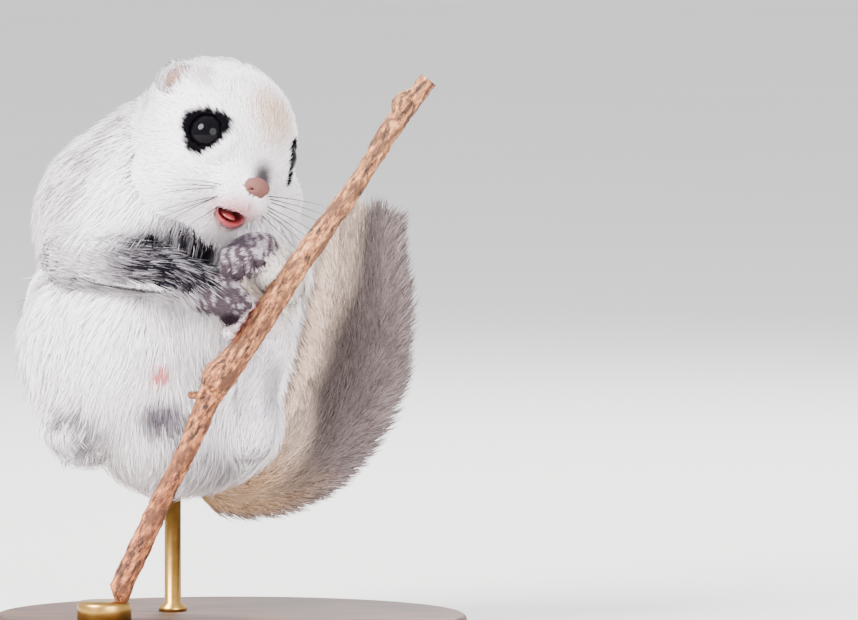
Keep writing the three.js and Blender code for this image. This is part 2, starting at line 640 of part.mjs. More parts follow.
function makeParts() {
  const twig = twigShape();
  const twigRoom = twigShape(GAP);
  const eyes = { right: eyeShape(1), left: eyeShape(-1) };
  const head = headShape(9);
  const headRoom = headShape(6, GAP + 0.1);
  const ears = { right: earShape(1), left: earShape(-1) };
  const earRooms = [earShape(1, GAP), earShape(-1, GAP)];
  const lids = [lidShape(1), lidShape(-1)];
  const face = without(
    joined(head, ...lids, lowerLipShape()),
    eyeShape(1, GAP),
    eyeShape(-1, GAP),
    noseShape(GAP),
    mouthCut(),
    tongueShape(GAP),
  );
  const hands = { right: handShape(HANDS.right), left: handShape(HANDS.left) };
  const handRooms = [handShape(HANDS.right, GAP), handShape(HANDS.left, GAP)];
  const feet = { right: rightFootShape(), left: leftFootShape() };
  const footRooms = [rightFootShape(GAP), leftFootShape(GAP)];
  const limbs = [...Object.values(FOREARMS), ...Object.values(SHANKS)];
  const limbRooms = limbs.map((stations) => limbShape(stations, GAP));
  const clear = [twigRoom, headRoom, ...handRooms, ...footRooms];
  const trunk = without(bodyShape(8), ...clear, ...earRooms, ...limbRooms);
  const bodyRoom = bodyShape(8, GAP);

  const [upper, lower] = parted(trunk, ...BODY_CUTS.waist);
  const [neck, thorax] = parted(upper, ...BODY_CUTS.neck);
  const [rightArm, thoraxAndLeftArm] = parted(thorax, ...BODY_CUTS.rightArm);
  const [leftArm, chest] = parted(thoraxAndLeftArm, ...BODY_CUTS.leftArm);
  const [abdomen, hips] = parted(lower, ...BODY_CUTS.loins);
  const [rightThigh, rumpAndLeftThigh] = parted(hips, ...BODY_CUTS.rightThigh);
  const [leftThigh, rump] = parted(rumpAndLeftThigh, ...BODY_CUTS.leftThigh);

  const tail = without(tailShape(), bodyRoom, ...clear, ...limbRooms);
  const tailPieces = largest(without(tail, ...TAIL_CUTS.map(tailKnife)), 3);
  const top = (piece) => piece.boundingBox().max[2];
  const [tailRoot, tailMiddle, tailTip] = tailPieces.sort((a, b) => top(a) - top(b));

  const { belly, back, sleeve, paw, foot, tail: brush } = FINISHES;
  const cutLimb = (stations, ...knives) => without(limbShape(stations), ...clear, ...knives);
  return [
    ['head', without(face, jawRegion(GAP)), belly],
    ['lower_jaw', face.intersect(jawRegion()), belly],
    ['tongue', tongueShape(), FINISHES.mouth],
    ['nose', noseShape(), FINISHES.nose],
    ['eye_right', eyes.right, FINISHES.eye],
    ['eye_left', eyes.left, FINISHES.eye],
    ['ear_right', without(ears.right, headRoom), paw],
    ['ear_left', without(ears.left, headRoom), paw],
    ['neck', neck, back],
    ['chest', chest, back],
    ['abdomen', abdomen, belly],
    ['rump', rump, belly],
    ['upper_arm_right', rightArm, back],
    ['upper_arm_left', leftArm, belly],
    ['thigh_right', rightThigh, belly],
    ['thigh_left', leftThigh, belly],
    ['forearm_right', cutLimb(FOREARMS.right), sleeve],
    ['forearm_left', cutLimb(FOREARMS.left), belly],
    ['shank_right', cutLimb(SHANKS.right), belly],
    ['shank_left', cutLimb(SHANKS.left), belly],
    ['hand_right', without(hands.right, twigRoom, headRoom, footRooms[1]), paw],
    ['hand_left', without(hands.left, twigRoom, headRoom, handRooms[0]), paw],
    ['foot_right', feet.right, foot],
    ['foot_left', without(feet.left, twigRoom), foot],
    ['membrane_right', without(membraneShape(MEMBRANES.right), bodyRoom, ...clear, ...limbRooms), belly],
    ['membrane_left', without(membraneShape(MEMBRANES.left), bodyRoom, ...clear, ...limbRooms), belly],
    ['tail_root', tailRoot, brush],
    ['tail_middle', tailMiddle, brush],
    ['tail_tip', tailTip, brush],
    ['twig', twig, FINISHES.bark],
    ['stand_base', baseShape(), FINISHES.base],
    ['stand_rod', without(uprightShape(ROD), bodyRoom), FINISHES.rod],
    ['stand_socket', without(uprightShape(SOCKET), twigRoom), FINISHES.rod],
  ];
}

function meshOf([name, shape, material]) {
  const { vertProperties, triVerts } = largest(shape)[0].getMesh();
  const geometry = new THREE.BufferGeometry();
  geometry.setAttribute('position', new THREE.BufferAttribute(vertProperties, 3));
  geometry.setIndex(new THREE.BufferAttribute(triVerts, 1));
  geometry.computeVertexNormals();
  const mesh = new THREE.Mesh(geometry, material);
  mesh.name = name;
  return mesh;
}

const squirrel = new THREE.Group();
squirrel.add(...makeParts().map(meshOf));

export default squirrel;
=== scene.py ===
"""A flying squirrel in its winter coat, life size, sitting upright behind a cut twig on a display base."""

import bpy
import numpy as np
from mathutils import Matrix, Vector


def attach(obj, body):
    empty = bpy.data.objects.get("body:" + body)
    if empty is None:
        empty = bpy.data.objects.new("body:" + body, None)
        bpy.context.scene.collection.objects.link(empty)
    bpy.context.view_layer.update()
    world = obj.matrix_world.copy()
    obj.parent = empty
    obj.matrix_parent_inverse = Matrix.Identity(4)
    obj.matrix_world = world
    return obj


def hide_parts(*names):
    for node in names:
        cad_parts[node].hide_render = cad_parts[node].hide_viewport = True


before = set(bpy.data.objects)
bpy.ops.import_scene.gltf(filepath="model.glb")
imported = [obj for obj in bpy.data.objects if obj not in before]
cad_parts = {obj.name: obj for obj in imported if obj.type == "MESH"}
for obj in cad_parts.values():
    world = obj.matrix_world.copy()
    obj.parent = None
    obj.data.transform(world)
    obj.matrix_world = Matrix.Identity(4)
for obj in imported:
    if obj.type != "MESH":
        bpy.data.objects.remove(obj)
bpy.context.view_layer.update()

# Flesh
# The body under its coat, as signed depths on a grid in millimetres: below zero inside. Each swelling,
# limb and fold is the solid of the same name, smaller by the depth of the coat that grows on it there.

GRID_STEP = 0.59
GRID_LOW = np.array([-56.0, -35.0, 26.0])
GRID_HIGH = np.array([54.0, 36.0, 144.0])
GRID_SHAPE = np.ceil((GRID_HIGH - GRID_LOW) / GRID_STEP).astype(int)
REACH = 7.0  # how far from the skin its depth is known
HEAD, EAR, TRUNK, ARM_RIGHT, ARM_LEFT, LEG_RIGHT, LEG_LEFT = range(7)
HAND_RIGHT, HAND_LEFT, FOOT_RIGHT, FOOT_LEFT, MEMBRANE, TAIL, BARE = range(7, 14)

flesh = np.full(GRID_SHAPE, REACH, np.float32)
part_at = np.full(GRID_SHAPE, TRUNK, np.int8)


def unit(vectors):
    """Vectors of length 1, along the last axis."""
    vectors = np.asarray(vectors, float)
    return vectors / np.maximum(np.linalg.norm(vectors, axis=-1, keepdims=True), 1e-9)


def add_volume(depth_at, low, high, fold, part=None):
    """Runs a volume into the flesh with a soft fold, or carves it out where part is None.
    The soft union of depths a and b is min(a, b) - (max(fold - |a - b|, 0) / fold)^2 fold / 4."""
    first = np.clip(((low - REACH - GRID_LOW) / GRID_STEP).astype(int), 0, GRID_SHAPE)
    last = np.clip(((high + REACH - GRID_LOW) / GRID_STEP).astype(int) + 1, 0, GRID_SHAPE)
    span = tuple(slice(a, b) for a, b in zip(first, last))
    axes = [GRID_LOW[i] + GRID_STEP * np.arange(first[i], last[i]) for i in range(3)]
    depth = depth_at(np.stack(np.meshgrid(*axes, indexing="ij"), axis=-1))
    old = flesh[span]
    new = depth if part is not None else -depth
    if part is None:
        flesh[span] = np.maximum(old, new)
        return
    part_at[span] = np.where(new < old, part, part_at[span])
    share = np.maximum(fold - np.abs(old - new), 0) / fold
    flesh[span] = np.minimum(old, new) - share**2 * fold / 4


def egg_depth(at, half, axes):
    """The depth under an egg's surface: with k = |p / half| and s = |p / half^2|, it is k (k - 1) / s."""
    at, half, axes = np.asarray(at, float), np.asarray(half, float), np.asarray(axes, float)

    def depth(points):
        local = (points - at) @ axes.T / half
        reach = np.linalg.norm(local, axis=-1)
        slope = np.maximum(np.linalg.norm(local / half, axis=-1), 1e-6)
        return reach * (reach - 1) / slope

    return depth


UPRIGHT = np.eye(3)


def add_egg(at, half, coat=0.0, axes=UPRIGHT, fold=5.0, part=None):
    """Adds an egg, smaller by the coat's depth, with its axes as rows."""
    at, half = np.asarray(at, float), np.maximum(np.asarray(half, float) - coat, 0.15)
    spread = np.abs(np.asarray(axes).T) @ half
    add_volume(egg_depth(at, half, axes), at - spread, at + spread, fold, part)


def curve_points(stations, shares):
    """Places on a smooth curve through the stations, by a spline whose spans go as the root of their
    length, and the same curve's headings."""
    places = np.asarray(stations, float)[:, :3]
    ends = [2 * places[0] - places[1]], places, [2 * places[-1] - places[-2]]
    line = np.concatenate(ends)
    rank = np.clip(np.asarray(shares, float), 0, 1) * (len(places) - 1)
    k = np.minimum(rank.astype(int), len(places) - 2)
    w = (rank - k)[:, None]
    p0, p1, p2, p3 = (line[k + i] for i in range(4))
    spans = ((p0, p1), (p1, p2), (p2, p3))
    d0, d1, d2 = (np.sqrt(np.linalg.norm(b - a, axis=1))[:, None] for a, b in spans)
    m1 = ((p1 - p0) / d0 - (p2 - p0) / (d0 + d1) + (p2 - p1) / d1) * d1
    m2 = ((p2 - p1) / d1 - (p3 - p1) / (d1 + d2) + (p3 - p2) / d2) * d1
    c2, c3 = -3 * p1 + 3 * p2 - 2 * m1 - m2, 2 * p1 - 2 * p2 + m1 + m2
    return p1 + m1 * w + c2 * w**2 + c3 * w**3, unit(m1 + 2 * c2 * w + 3 * c3 * w**2)


def size_at(stations, shares, column):
    """A half size of the stations, at shares of the curve through them."""
    column = np.asarray(stations, float)[:, column]
    return np.interp(np.clip(shares, 0, 1) * (len(column) - 1), np.arange(len(column)), column)


def add_tube(stations, side, coat, part, beads=14, fold=1.6):
    """Adds a limb as a row of eggs along the curve through stations [x, y, z, half width, thickness]."""
    shares = np.linspace(0, 1, beads)
    places, headings = curve_points(stations, shares)
    spacing = np.linalg.norm(np.diff(places, axis=0), axis=1).mean()
    for share, place, heading in zip(shares, places, headings):
        wanted = side(place, heading) if callable(side) else np.asarray(side, float)
        across = unit(wanted - heading * (wanted @ heading))
        width, thickness = (size_at(stations, share, column) for column in (3, 4))
        long = max(1.7 * spacing, 0.6 * (width - coat))
        half = [width - coat, thickness - coat, long]
        add_egg(place, half, 0.0, [across, np.cross(heading, across), heading], fold, part)


# Trunk: the swellings of the body, which meet in soft folds
TRUNK_MIDDLE = np.array([-20.0, 3.0, 78.0])
TRUNK_COAT = 2.6
for at, half in (
    ((-20, 3, 100), (27, 25, 25)),  # chest
    ((-27, 2, 70), (23.5, 26, 26)),  # belly
    ((-22, 12, 80), (24, 19, 32)),  # back
    ((-2, 1, 78), (16.5, 18, 20)),  # left flank
    ((-13, 6, 55), (23, 25, 21.5)),  # rump
    ((-34, 2, 59.5), (12, 19, 16)),  # right haunch
    ((0, -2, 53), (12.5, 14, 14)),  # left haunch
    ((7, -3, 92), (12, 14, 15)),  # left shoulder
    ((-13.5, 2, 115.5), (18, 17, 16)),  # neck
):
    add_egg(at, half, TRUNK_COAT, fold=5.0, part=TRUNK)

# Head: its own frame has x to the animal's right, y forward and z up
HEAD_AT = np.array([-1.9, -7.0, 118.1])
HEAD_TURN, HEAD_NOD, HEAD_TILT = np.radians([28.3, 23.6, 19.7])


def head_axes():
    """The head's three axes, as rows."""
    cos_turn, sin_turn = np.cos(HEAD_TURN), np.sin(HEAD_TURN)
    forward = np.array([sin_turn * np.cos(HEAD_NOD), -cos_turn * np.cos(HEAD_NOD), -np.sin(HEAD_NOD)])
    right = np.array([-cos_turn, -sin_turn, 0.0])
    up = np.cross(right, forward)
    tilted = right * np.cos(HEAD_TILT) + up * np.sin(HEAD_TILT)
    return np.array([tilted, forward, np.cross(tilted, forward)])


HEAD_AXES = head_axes()


def from_head(spots):
    """Places or stations given in the head's frame, in the body's."""
    spots = np.asarray(spots, float)
    return np.concatenate([HEAD_AT + spots[..., :3] @ HEAD_AXES, spots[..., 3:]], axis=-1)


def to_head(points):
    """Places in the head's frame."""
    return (points - HEAD_AT) @ HEAD_AXES.T


for at, half, coat in (
    ((0, -3, 1), (19, 19.5, 18.5), 0.7),  # cranium
    ((0, 12, -3.5), (8.5, 9.5, 8), 0.5),  # muzzle
    ((9.5, 3, -8), (10.5, 11.5, 10.5), 0.9),  # right cheek
    ((-13, 2, -8.5), (12.8, 11.5, 11.5), 0.9),  # left cheek
    ((0, 8, -12), (9, 9, 7), 0.8),  # chin
    ((2.6, 17.6, -4.4), (3.8, 3.4, 3), 0.35),  # right whisker pad
    ((-2.6, 17.6, -4.4), (3.8, 3.4, 3), 0.35),  # left whisker pad
):
    add_egg(from_head(at), half, coat, HEAD_AXES, fold=3.5, part=HEAD)

# Eyes sit in round sockets, with a ring of lid and a soft brow round each
EYE_RADIUS = 4.8
EYE_OPENING = 4.3
SOCKET_GAP = 0.12
GAZE = unit([0.78, 0.52, 0.34])


def eye_frame(side):
    """An eye's middle in the head's frame, and its axes there as rows: front, up and out."""
    out = GAZE * [side, 1, 1]
    front = unit(np.array([0, 1, 0]) - out * out[1])
    return np.array([side * 10.5, 7.0, 4.8]), np.array([front, np.cross(out, front) * side, out])


def ring_depth(at, axes, radius, thickness):
    """The depth under the surface of a ring about the last of its axes."""

    def depth(points):
        local = (points - at) @ axes.T
        rim = np.hypot(local[..., 0], local[..., 1]) - radius
        return np.hypot(rim, local[..., 2]) - thickness

    return depth


EYES = {}
for side in (1, -1):
    middle, axes = eye_frame(side)
    place, axes = from_head(middle), axes @ HEAD_AXES
    EYES[side] = (place, axes)
    for out, radius, thickness, fold in ((0.9, 5.6, 1.25, 2.4), (1.95, EYE_OPENING + 0.45, 0.6, 0.5)):
        ring_at = place + axes[2] * out
        around = np.full(3, radius + thickness)
        lid = ring_depth(ring_at, axes, radius, thickness)
        add_volume(lid, ring_at - around, ring_at + around, fold, HEAD)
    add_egg(place, np.full(3, EYE_RADIUS + SOCKET_GAP))

# Nose pad, lips and mouth. The mouth is a little open, more on the right side.
NOSE_AT = from_head((0, 20.6, 0.2))
add_egg(NOSE_AT, (3.3, 2.2, 2.3), 0.0, HEAD_AXES, fold=0.8, part=BARE)
MOUTH_AT = from_head((1.8, 19.4, -8.6))
LIP_LINE = ((5.6, 15.2, -8.2), (3.4, 19.2, -7.6), (0.3, 20.6, -6.2), (-2.4, 19.9, -7.2), (-5.2, 16, -8.4))
LOWER_LIP = (
    (5, 17, -8.3, 0.6, 0.6),
    (3.6, 18.6, -10, 0.9, 0.8),
    (1.6, 19, -10.7, 1, 0.9),
    (-0.6, 18.8, -10, 0.9, 0.8),
    (-2.2, 18, -8.4, 0.6, 0.6),
)
add_tube(from_head(LOWER_LIP), HEAD_AXES[2], 0.0, HEAD, beads=12, fold=1.2)
add_egg(MOUTH_AT, (3.5, 6, 1.9), 0.0, HEAD_AXES)
NOSE_LINE = ((0, 21.6, -1.4), (0, 21.3, -4), (0.2, 20.5, -6.4))
for line, half in ((LIP_LINE, (0.35, 0.5, 0.35)), (NOSE_LINE, (0.3, 0.5, 0.4))):
    for spot in curve_points(from_head(line), np.linspace(0, 1, 26))[0]:
        add_egg(spot, half, 0.0, HEAD_AXES)
for side in (1, -1):
    for spot in np.linspace((side * 1.2, 21.2, -0.2), (side * 3, 22, -0.7), 8):
        add_egg(from_head(spot), (0.5, 0.6, 0.42), 0.0, HEAD_AXES)

# Ears: thin cups laid back against the crown
EAR_HALF = np.array([4.7, 2.6, 5.4])
EAR_CUP = np.array([3.8, 2.3, 4.6])


def ear_frame(side):
    """An ear's middle in the body's frame, and its axes as rows: across, forward and along."""
    turns = np.radians([28, -14 * side, -20 * side])
    (cx, cy, cz), (sx, sy, sz) = np.cos(turns), np.sin(turns)
    about_x = np.array([[1, 0, 0], [0, cx, -sx], [0, sx, cx]])
    about_y = np.array([[cy, 0, sy], [0, 1, 0], [-sy, 0, cy]])
    about_z = np.array([[cz, -sz, 0], [sz, cz, 0], [0, 0, 1]])
    return from_head((side * 15.5, -6.5, 9.6)), (about_x @ about_y @ about_z).T @ HEAD_AXES


EARS = {side: ear_frame(side) for side in (1, -1)}
for place, axes in EARS.values():
    add_egg(place, EAR_HALF, 0.35, axes, fold=1.5, part=EAR)
    add_egg(place + axes[1] * 1.7, EAR_CUP, 0.0, axes)

# Limbs, as stations [x, y, z, half width, half thickness]
LIMBS = {
    ARM_RIGHT: [
        (-38, -11, 93, 8, 7), (-27, -18.5, 91.5, 6.8, 6), (-16, -23, 90, 5.4, 4.8), (-6.5, -26, 87, 3.6, 3.2),
    ],
    ARM_LEFT: [(12, -8, 86, 6, 6), (11.5, -16, 89, 5, 5), (9, -21, 92.5, 3.8, 3.5)],
    LEG_RIGHT: [(-38, -11, 54, 7, 7), (-35, -5, 50.5, 5.5, 5.5), (-31, 7, 48.5, 4.4, 4.4)],
    LEG_LEFT: [(3, -9, 49, 7, 7), (6, -11.5, 60, 4.8, 4.8), (9.5, -13.5, 70.5, 3.8, 3.8)],
    HAND_RIGHT: [(-7.6, -26.6, 87.2, 3.6, 2.6), (-3, -27.6, 85, 4.5, 2.8), (0.6, -27.8, 83.6, 3.9, 2.2)],
    HAND_LEFT: [(9.6, -22.6, 95.6, 3.2, 2.8), (5.4, -24.4, 94.6, 4.3, 3.3), (0.8, -25, 92, 3.4, 2.8)],
    FOOT_RIGHT: [
        (-29.5, 14, 49, 3.6, 3), (-31.5, 8, 46.4, 4, 2.6),
        (-33.5, 0, 46.2, 4.6, 2.4), (-34.5, -4, 46.8, 4.2, 2),
    ],
    FOOT_LEFT: [
        (11, -12.5, 70.5, 4, 3.4), (9.5, -14.6, 75, 4.4, 3.2),
        (5.5, -16, 78, 5, 2.8), (2, -17.6, 77.6, 4.4, 2.2),
    ],
}
LIMB_SIDES = {
    HAND_RIGHT: (0.78, 0, 0.62), HAND_LEFT: (-0.45, 0, 0.89),
    FOOT_RIGHT: (1, 0, 0), FOOT_LEFT: (0.5, 0, 0.87),
}
LIMB_COATS = {ARM_RIGHT: 1.8, ARM_LEFT: 1.6, LEG_RIGHT: 1.8, LEG_LEFT: 1.4}
for part, stations in LIMBS.items():
    fold = 2.4 if part in LIMB_COATS else 1.4
    add_tube(stations, LIMB_SIDES.get(part, (0, 0, 1)), LIMB_COATS.get(part, 0.55), part, fold=fold)

# Fingers and toes, three places each. The left foot's toes bend round the twig from behind.
TWIG = [
    (-31.5, -20, 1, 3, 3), (-18.2, -20.5, 30.3, 2.7, 2.6), (-11.8, -21, 43.3, 2.4, 2.4),
    (-7.7, -21.5, 51.9, 2.6, 2.5), (-4.3, -22, 60.3, 3.1, 3), (-0.5, -22.5, 66.5, 3.8, 3.5),
    (3.4, -23, 71.5, 3.2, 3.1), (8.4, -23, 78.8, 3.1, 3), (16.3, -22, 90.8, 3, 2.9),
    (23.8, -21, 101.3, 2.8, 2.8), (31.4, -20, 111.7, 2.3, 2.3), (39.4, -19, 124.4, 2.7, 2.5),
    (47.8, -18, 135.2, 2.4, 2.3),
]
FINGER_RADIUS, TOE_RADIUS = 1.15, 1.45


def by_twig(share, angle, radius):
    """A place off the twig's middle line by radius, at an angle that is 0 in front and 90 on the left."""
    (place,), (heading,) = curve_points(TWIG, [share])
    front = np.array([0.0, -1.0, 0.0])
    left = unit(np.cross(front, heading))
    return place + radius * (front * np.cos(np.radians(angle)) + left * np.sin(np.radians(angle)))


DIGITS = {
    HAND_RIGHT: [
        [(-2.6, -27.8, 83.4), (-1.4, -28.6, 81), (-0.5, -28.2, 78.9)],
        [(-0.6, -28.2, 84.2), (0.7, -29, 81.6), (1.2, -28.4, 79.5)],
        [(1, -28.2, 85), (2.4, -29, 82.9), (3, -28.4, 80.9)],
        [(2.2, -27.6, 86), (3.9, -28.2, 84.3), (4.6, -27.8, 82.6)],
    ],
    HAND_LEFT: [
        [(0.6, -26.4, 92.8), (0, -27.6, 90.8), (1, -26.8, 89.2)],
        [(3, -27, 93.6), (2.6, -28.2, 91.2), (3.2, -27, 89.4)],
        [(5.4, -27, 94.4), (5.2, -28, 92), (5.6, -26.8, 90.2)],
        [(7.6, -26, 95.2), (7.6, -27, 93), (7.8, -26, 91.4)],
    ],
    FOOT_RIGHT: [[(x, -3, 47), (x - 0.2, -6.4, 47.2), (x - 0.2, -9, 46)] for x in np.arange(-37.8, -30, 2.3)],
    FOOT_LEFT: [
        [by_twig(share, angle, 4.95 + 0.4 * (angle > 150)) for angle in (168, 118, 72)]
        for share in 0.515 + 0.025 * np.arange(4)
    ],
}
for part, digits in DIGITS.items():
    radius = FINGER_RADIUS if part in (HAND_RIGHT, HAND_LEFT) else TOE_RADIUS
    for places in digits:
        radii = radius * (1 - 0.12 * np.arange(len(places)))
        stations = [(*place, thick, thick) for place, thick in zip(places, radii)]
        add_tube(stations, (0.6, 0.0, 0.8), 0.12, part, beads=7, fold=0.5)

# Gliding membranes: folded edges from wrist to ankle
MEMBRANES = [
    [
        (-6, -26.5, 85), (-17, -25.2, 87), (-31, -20, 88.5), (-42, -8.5, 89), (-46.5, 2, 82),
        (-46.8, 5, 68), (-42, 4, 55), (-36, -2, 48),
    ],
    [(10.5, -19, 91.5), (13.5, -9, 87), (14.5, -3, 78), (10.5, -3, 68), (10, -10, 64)],
]


def outward(place, heading):
    """Level, away from the trunk's middle line."""
    return np.array([place[0] - TRUNK_MIDDLE[0], place[1] - TRUNK_MIDDLE[1], 0.0])


for places in MEMBRANES:
    ends = (0, len(places) - 1)
    stations = [(*place, 0.7 if i in ends else 1.6, 0.6) for i, place in enumerate(places)]
    add_tube(stations, outward, 0.0, MEMBRANE, beads=9 * len(places), fold=0.9)

# Tail core, under the long hair
TAIL_LINE = [
    (-9.6, 14, 39.7, 9, 7), (2.4, 12, 37, 9.5, 6), (13.2, 8, 40, 11, 4.6), (22.8, 5, 49.5, 13.4, 3.4),
    (28.8, 3, 63.3, 15.4, 2.8), (31.2, 3, 80, 14.6, 2.4), (32.4, 5, 97.5, 11, 1.6),
]
TAIL_FACE = unit([-0.3, -0.95, 0])
core = [(x, y, z, 0.3 * width, 0.62 * thickness) for x, y, z, width, thickness in TAIL_LINE]
add_tube(core, lambda place, heading: np.cross(TAIL_FACE, heading), 0.0, TAIL, beads=40, fold=1.5)

# Skin
# One mesh over all the flesh, found where the depth is zero. Its colours come from one function of
# place, which the coat uses too.

MM = 0.001


def surface_of(values):
    """Vertices and quads of a grid's zero surface: a vertex in each cell that the surface crosses, at the
    mean of the crossings on the cell's edges, and a quad round each grid edge that it crosses."""
    corners = np.array([(i, j, k) for i in (0, 1) for j in (0, 1) for k in (0, 1)])
    cells_shape = np.array(values.shape) - 1
    inside = values < 0
    count = np.zeros(cells_shape, np.int8)
    for corner in corners:
        count += inside[tuple(slice(c, c + n) for c, n in zip(corner, cells_shape))]
    active = (count > 0) & (count < 8)
    cells = np.argwhere(active)
    number = np.full(cells_shape, -1, np.int32)
    number[active] = np.arange(len(cells))
    depths = np.stack([values[tuple((cells + corner).T)] for corner in corners], axis=1)
    total, crossings = np.zeros((len(cells), 3)), np.zeros(len(cells))
    for a in range(8):
        for b in range(a + 1, 8):
            if np.abs(corners[a] - corners[b]).sum() != 1:
                continue
            crossed = (depths[:, a] < 0) != (depths[:, b] < 0)
            share = depths[crossed, a] / (depths[crossed, a] - depths[crossed, b])
            total[crossed] += corners[a] + share[:, None] * (corners[b] - corners[a])
            crossings[crossed] += 1
    quads = []
    for axis in range(3):
        ahead = np.eye(3, dtype=int)[axis]
        back, under = np.eye(3, dtype=int)[(axis + 1) % 3], np.eye(3, dtype=int)[(axis + 2) % 3]
        size = np.array(values.shape) - ahead
        near = inside[tuple(slice(0, n) for n in size)]
        far = inside[tuple(slice(s, s + n) for s, n in zip(ahead, size))]
        edges = np.argwhere(near != far)
        keep = ((edges >= back + under) & (edges < cells_shape)).all(axis=1)
        edges = edges[keep]
        ring = [number[tuple(c.T)] for c in (edges, edges - back, edges - back - under, edges - under)]
        ring = np.stack(ring, axis=1)
        outwards = near[tuple(edges.T)]
        quads.append(np.where(outwards[:, None], ring, ring[:, ::-1]))
    return cells + total / crossings[:, None], np.concatenate(quads)


def read_grid(points):
    """The flesh's depth and its slope at points, read between the grid's values."""
    place = (points - GRID_LOW) / GRID_STEP
    cell = np.clip(place.astype(int), 0, GRID_SHAPE - 2)
    w = np.clip(place - cell, 0, 1)
    depth, slope = np.zeros(len(points)), np.zeros((len(points), 3))
    for corner in np.ndindex(2, 2, 2):
        value = flesh[tuple((cell + corner).T)]
        shares = [w[:, i] if corner[i] else 1 - w[:, i] for i in range(3)]
        depth += value * shares[0] * shares[1] * shares[2]
        for i in range(3):
            others = [shares[j] for j in range(3) if j != i]
            slope[:, i] += value * (1 if corner[i] else -1) * others[0] * others[1]
    return depth, unit(slope)


def part_of(points):
    """Which part of the body lies nearest to each point."""
    cell = np.clip(np.rint((points - GRID_LOW) / GRID_STEP).astype(int), 0, GRID_SHAPE - 1)
    return part_at[tuple(cell.T)]


def noise(points, size, seed):
    """Smooth random values from 0 to 1 that change over the given size, from a hashed grid."""
    place = np.asarray(points) / size + 100.0 + 7.3 * seed
    cell = np.floor(place).astype(np.int64)
    w = place - cell
    w = w * w * (3 - 2 * w)
    total = np.zeros(len(place))
    for corner in np.ndindex(2, 2, 2):
        c = cell + corner
        code = (c[:, 0] * 73856093) ^ (c[:, 1] * 19349663) ^ (c[:, 2] * 83492791) ^ (seed * 2654435761)
        code = (code ^ (code >> 13)) * 1274126177 & 0x7FFFFFFF
        share = np.prod(np.where(corner, w, 1 - w), axis=1)
        total += share * (code % 65536) / 65535.0
    return total


def colour(code):
    """A colour from its six-digit sRGB code, as linear values."""
    value = np.array([int(code[i : i + 2], 16) for i in (0, 2, 4)]) / 255
    return np.where(value <= 0.04045, value / 12.92, ((value + 0.055) / 1.055) ** 2.4)


def blot(points, at, half, soft=0.35):
    """A soft-edged egg of 1 inside and 0 outside, for a marking."""
    reach = np.linalg.norm((points - np.asarray(at, float)) / np.asarray(half, float), axis=-1)
    share = np.clip((1 + soft - reach) / (2 * soft), 0, 1)
    return share * share * (3 - 2 * share)


def eye_patch(points):
    """How far a point is into the black fur round either eye, which has three soft corners."""
    share = np.zeros(len(points))
    for side, (place, axes) in EYES.items():
        local = (points - place) @ axes.T
        angle = np.degrees(np.arctan2(local[:, 1], local[:, 0]))
        edge = 5.25 + 1.3 * (noise(points, 0.7, 15) - 0.5)
        for corner, length in ((58, 1.9), (-62, 1.4), (192, 1.3)):
            apart = np.abs((angle - corner + 180) % 360 - 180)
            edge += length * np.exp(-((apart / 34) ** 2))
        reach = np.hypot(local[:, 0], local[:, 1])
        near = local[:, 2] > -3
        share = np.maximum(share, near * np.clip((edge + 0.5 - reach) / 1.0, 0, 1))
    return share


WHITE, LAVENDER, GREY, DARK = (colour(code) for code in ("fbf7fb", "e4dbe6", "837a82", "2b262d"))
CREAM, TAN, CHARCOAL, ASH = (colour(code) for code in ("ead9c6", "cfa778", "17131a", "625a63"))
PINK, ROSE, RED, NOSE_PINK = (colour(code) for code in ("e0aeb1", "9c444b", "57100f", "6d4a45"))
BARE_SPOT, HAND_GREY, HAND_PALE, FINGERTIP_DARK = (colour(code) for code in ("e07f7f", "4b4046", "c9bcc5", "241c21"))
TOE_PINK, EAR_GREY, EAR_TAN, EAR_TUFT = (colour(code) for code in ("d28a90", "7e7078", "cda084", "6d5c60"))
BRIDGE, PATCH_BLACK, BLUSH = (colour(code) for code in ("332b30", "0c0a0d", "d97f84"))
TAIL_TAN, TAIL_EDGE, TAIL_TIP = (colour(code) for code in ("b08b62", "97878a", "a3948f"))
TAIL_CREAM, TAIL_GREY, TAIL_DARK = (colour(code) for code in ("e6cab5", "4e4244", "231b1c"))


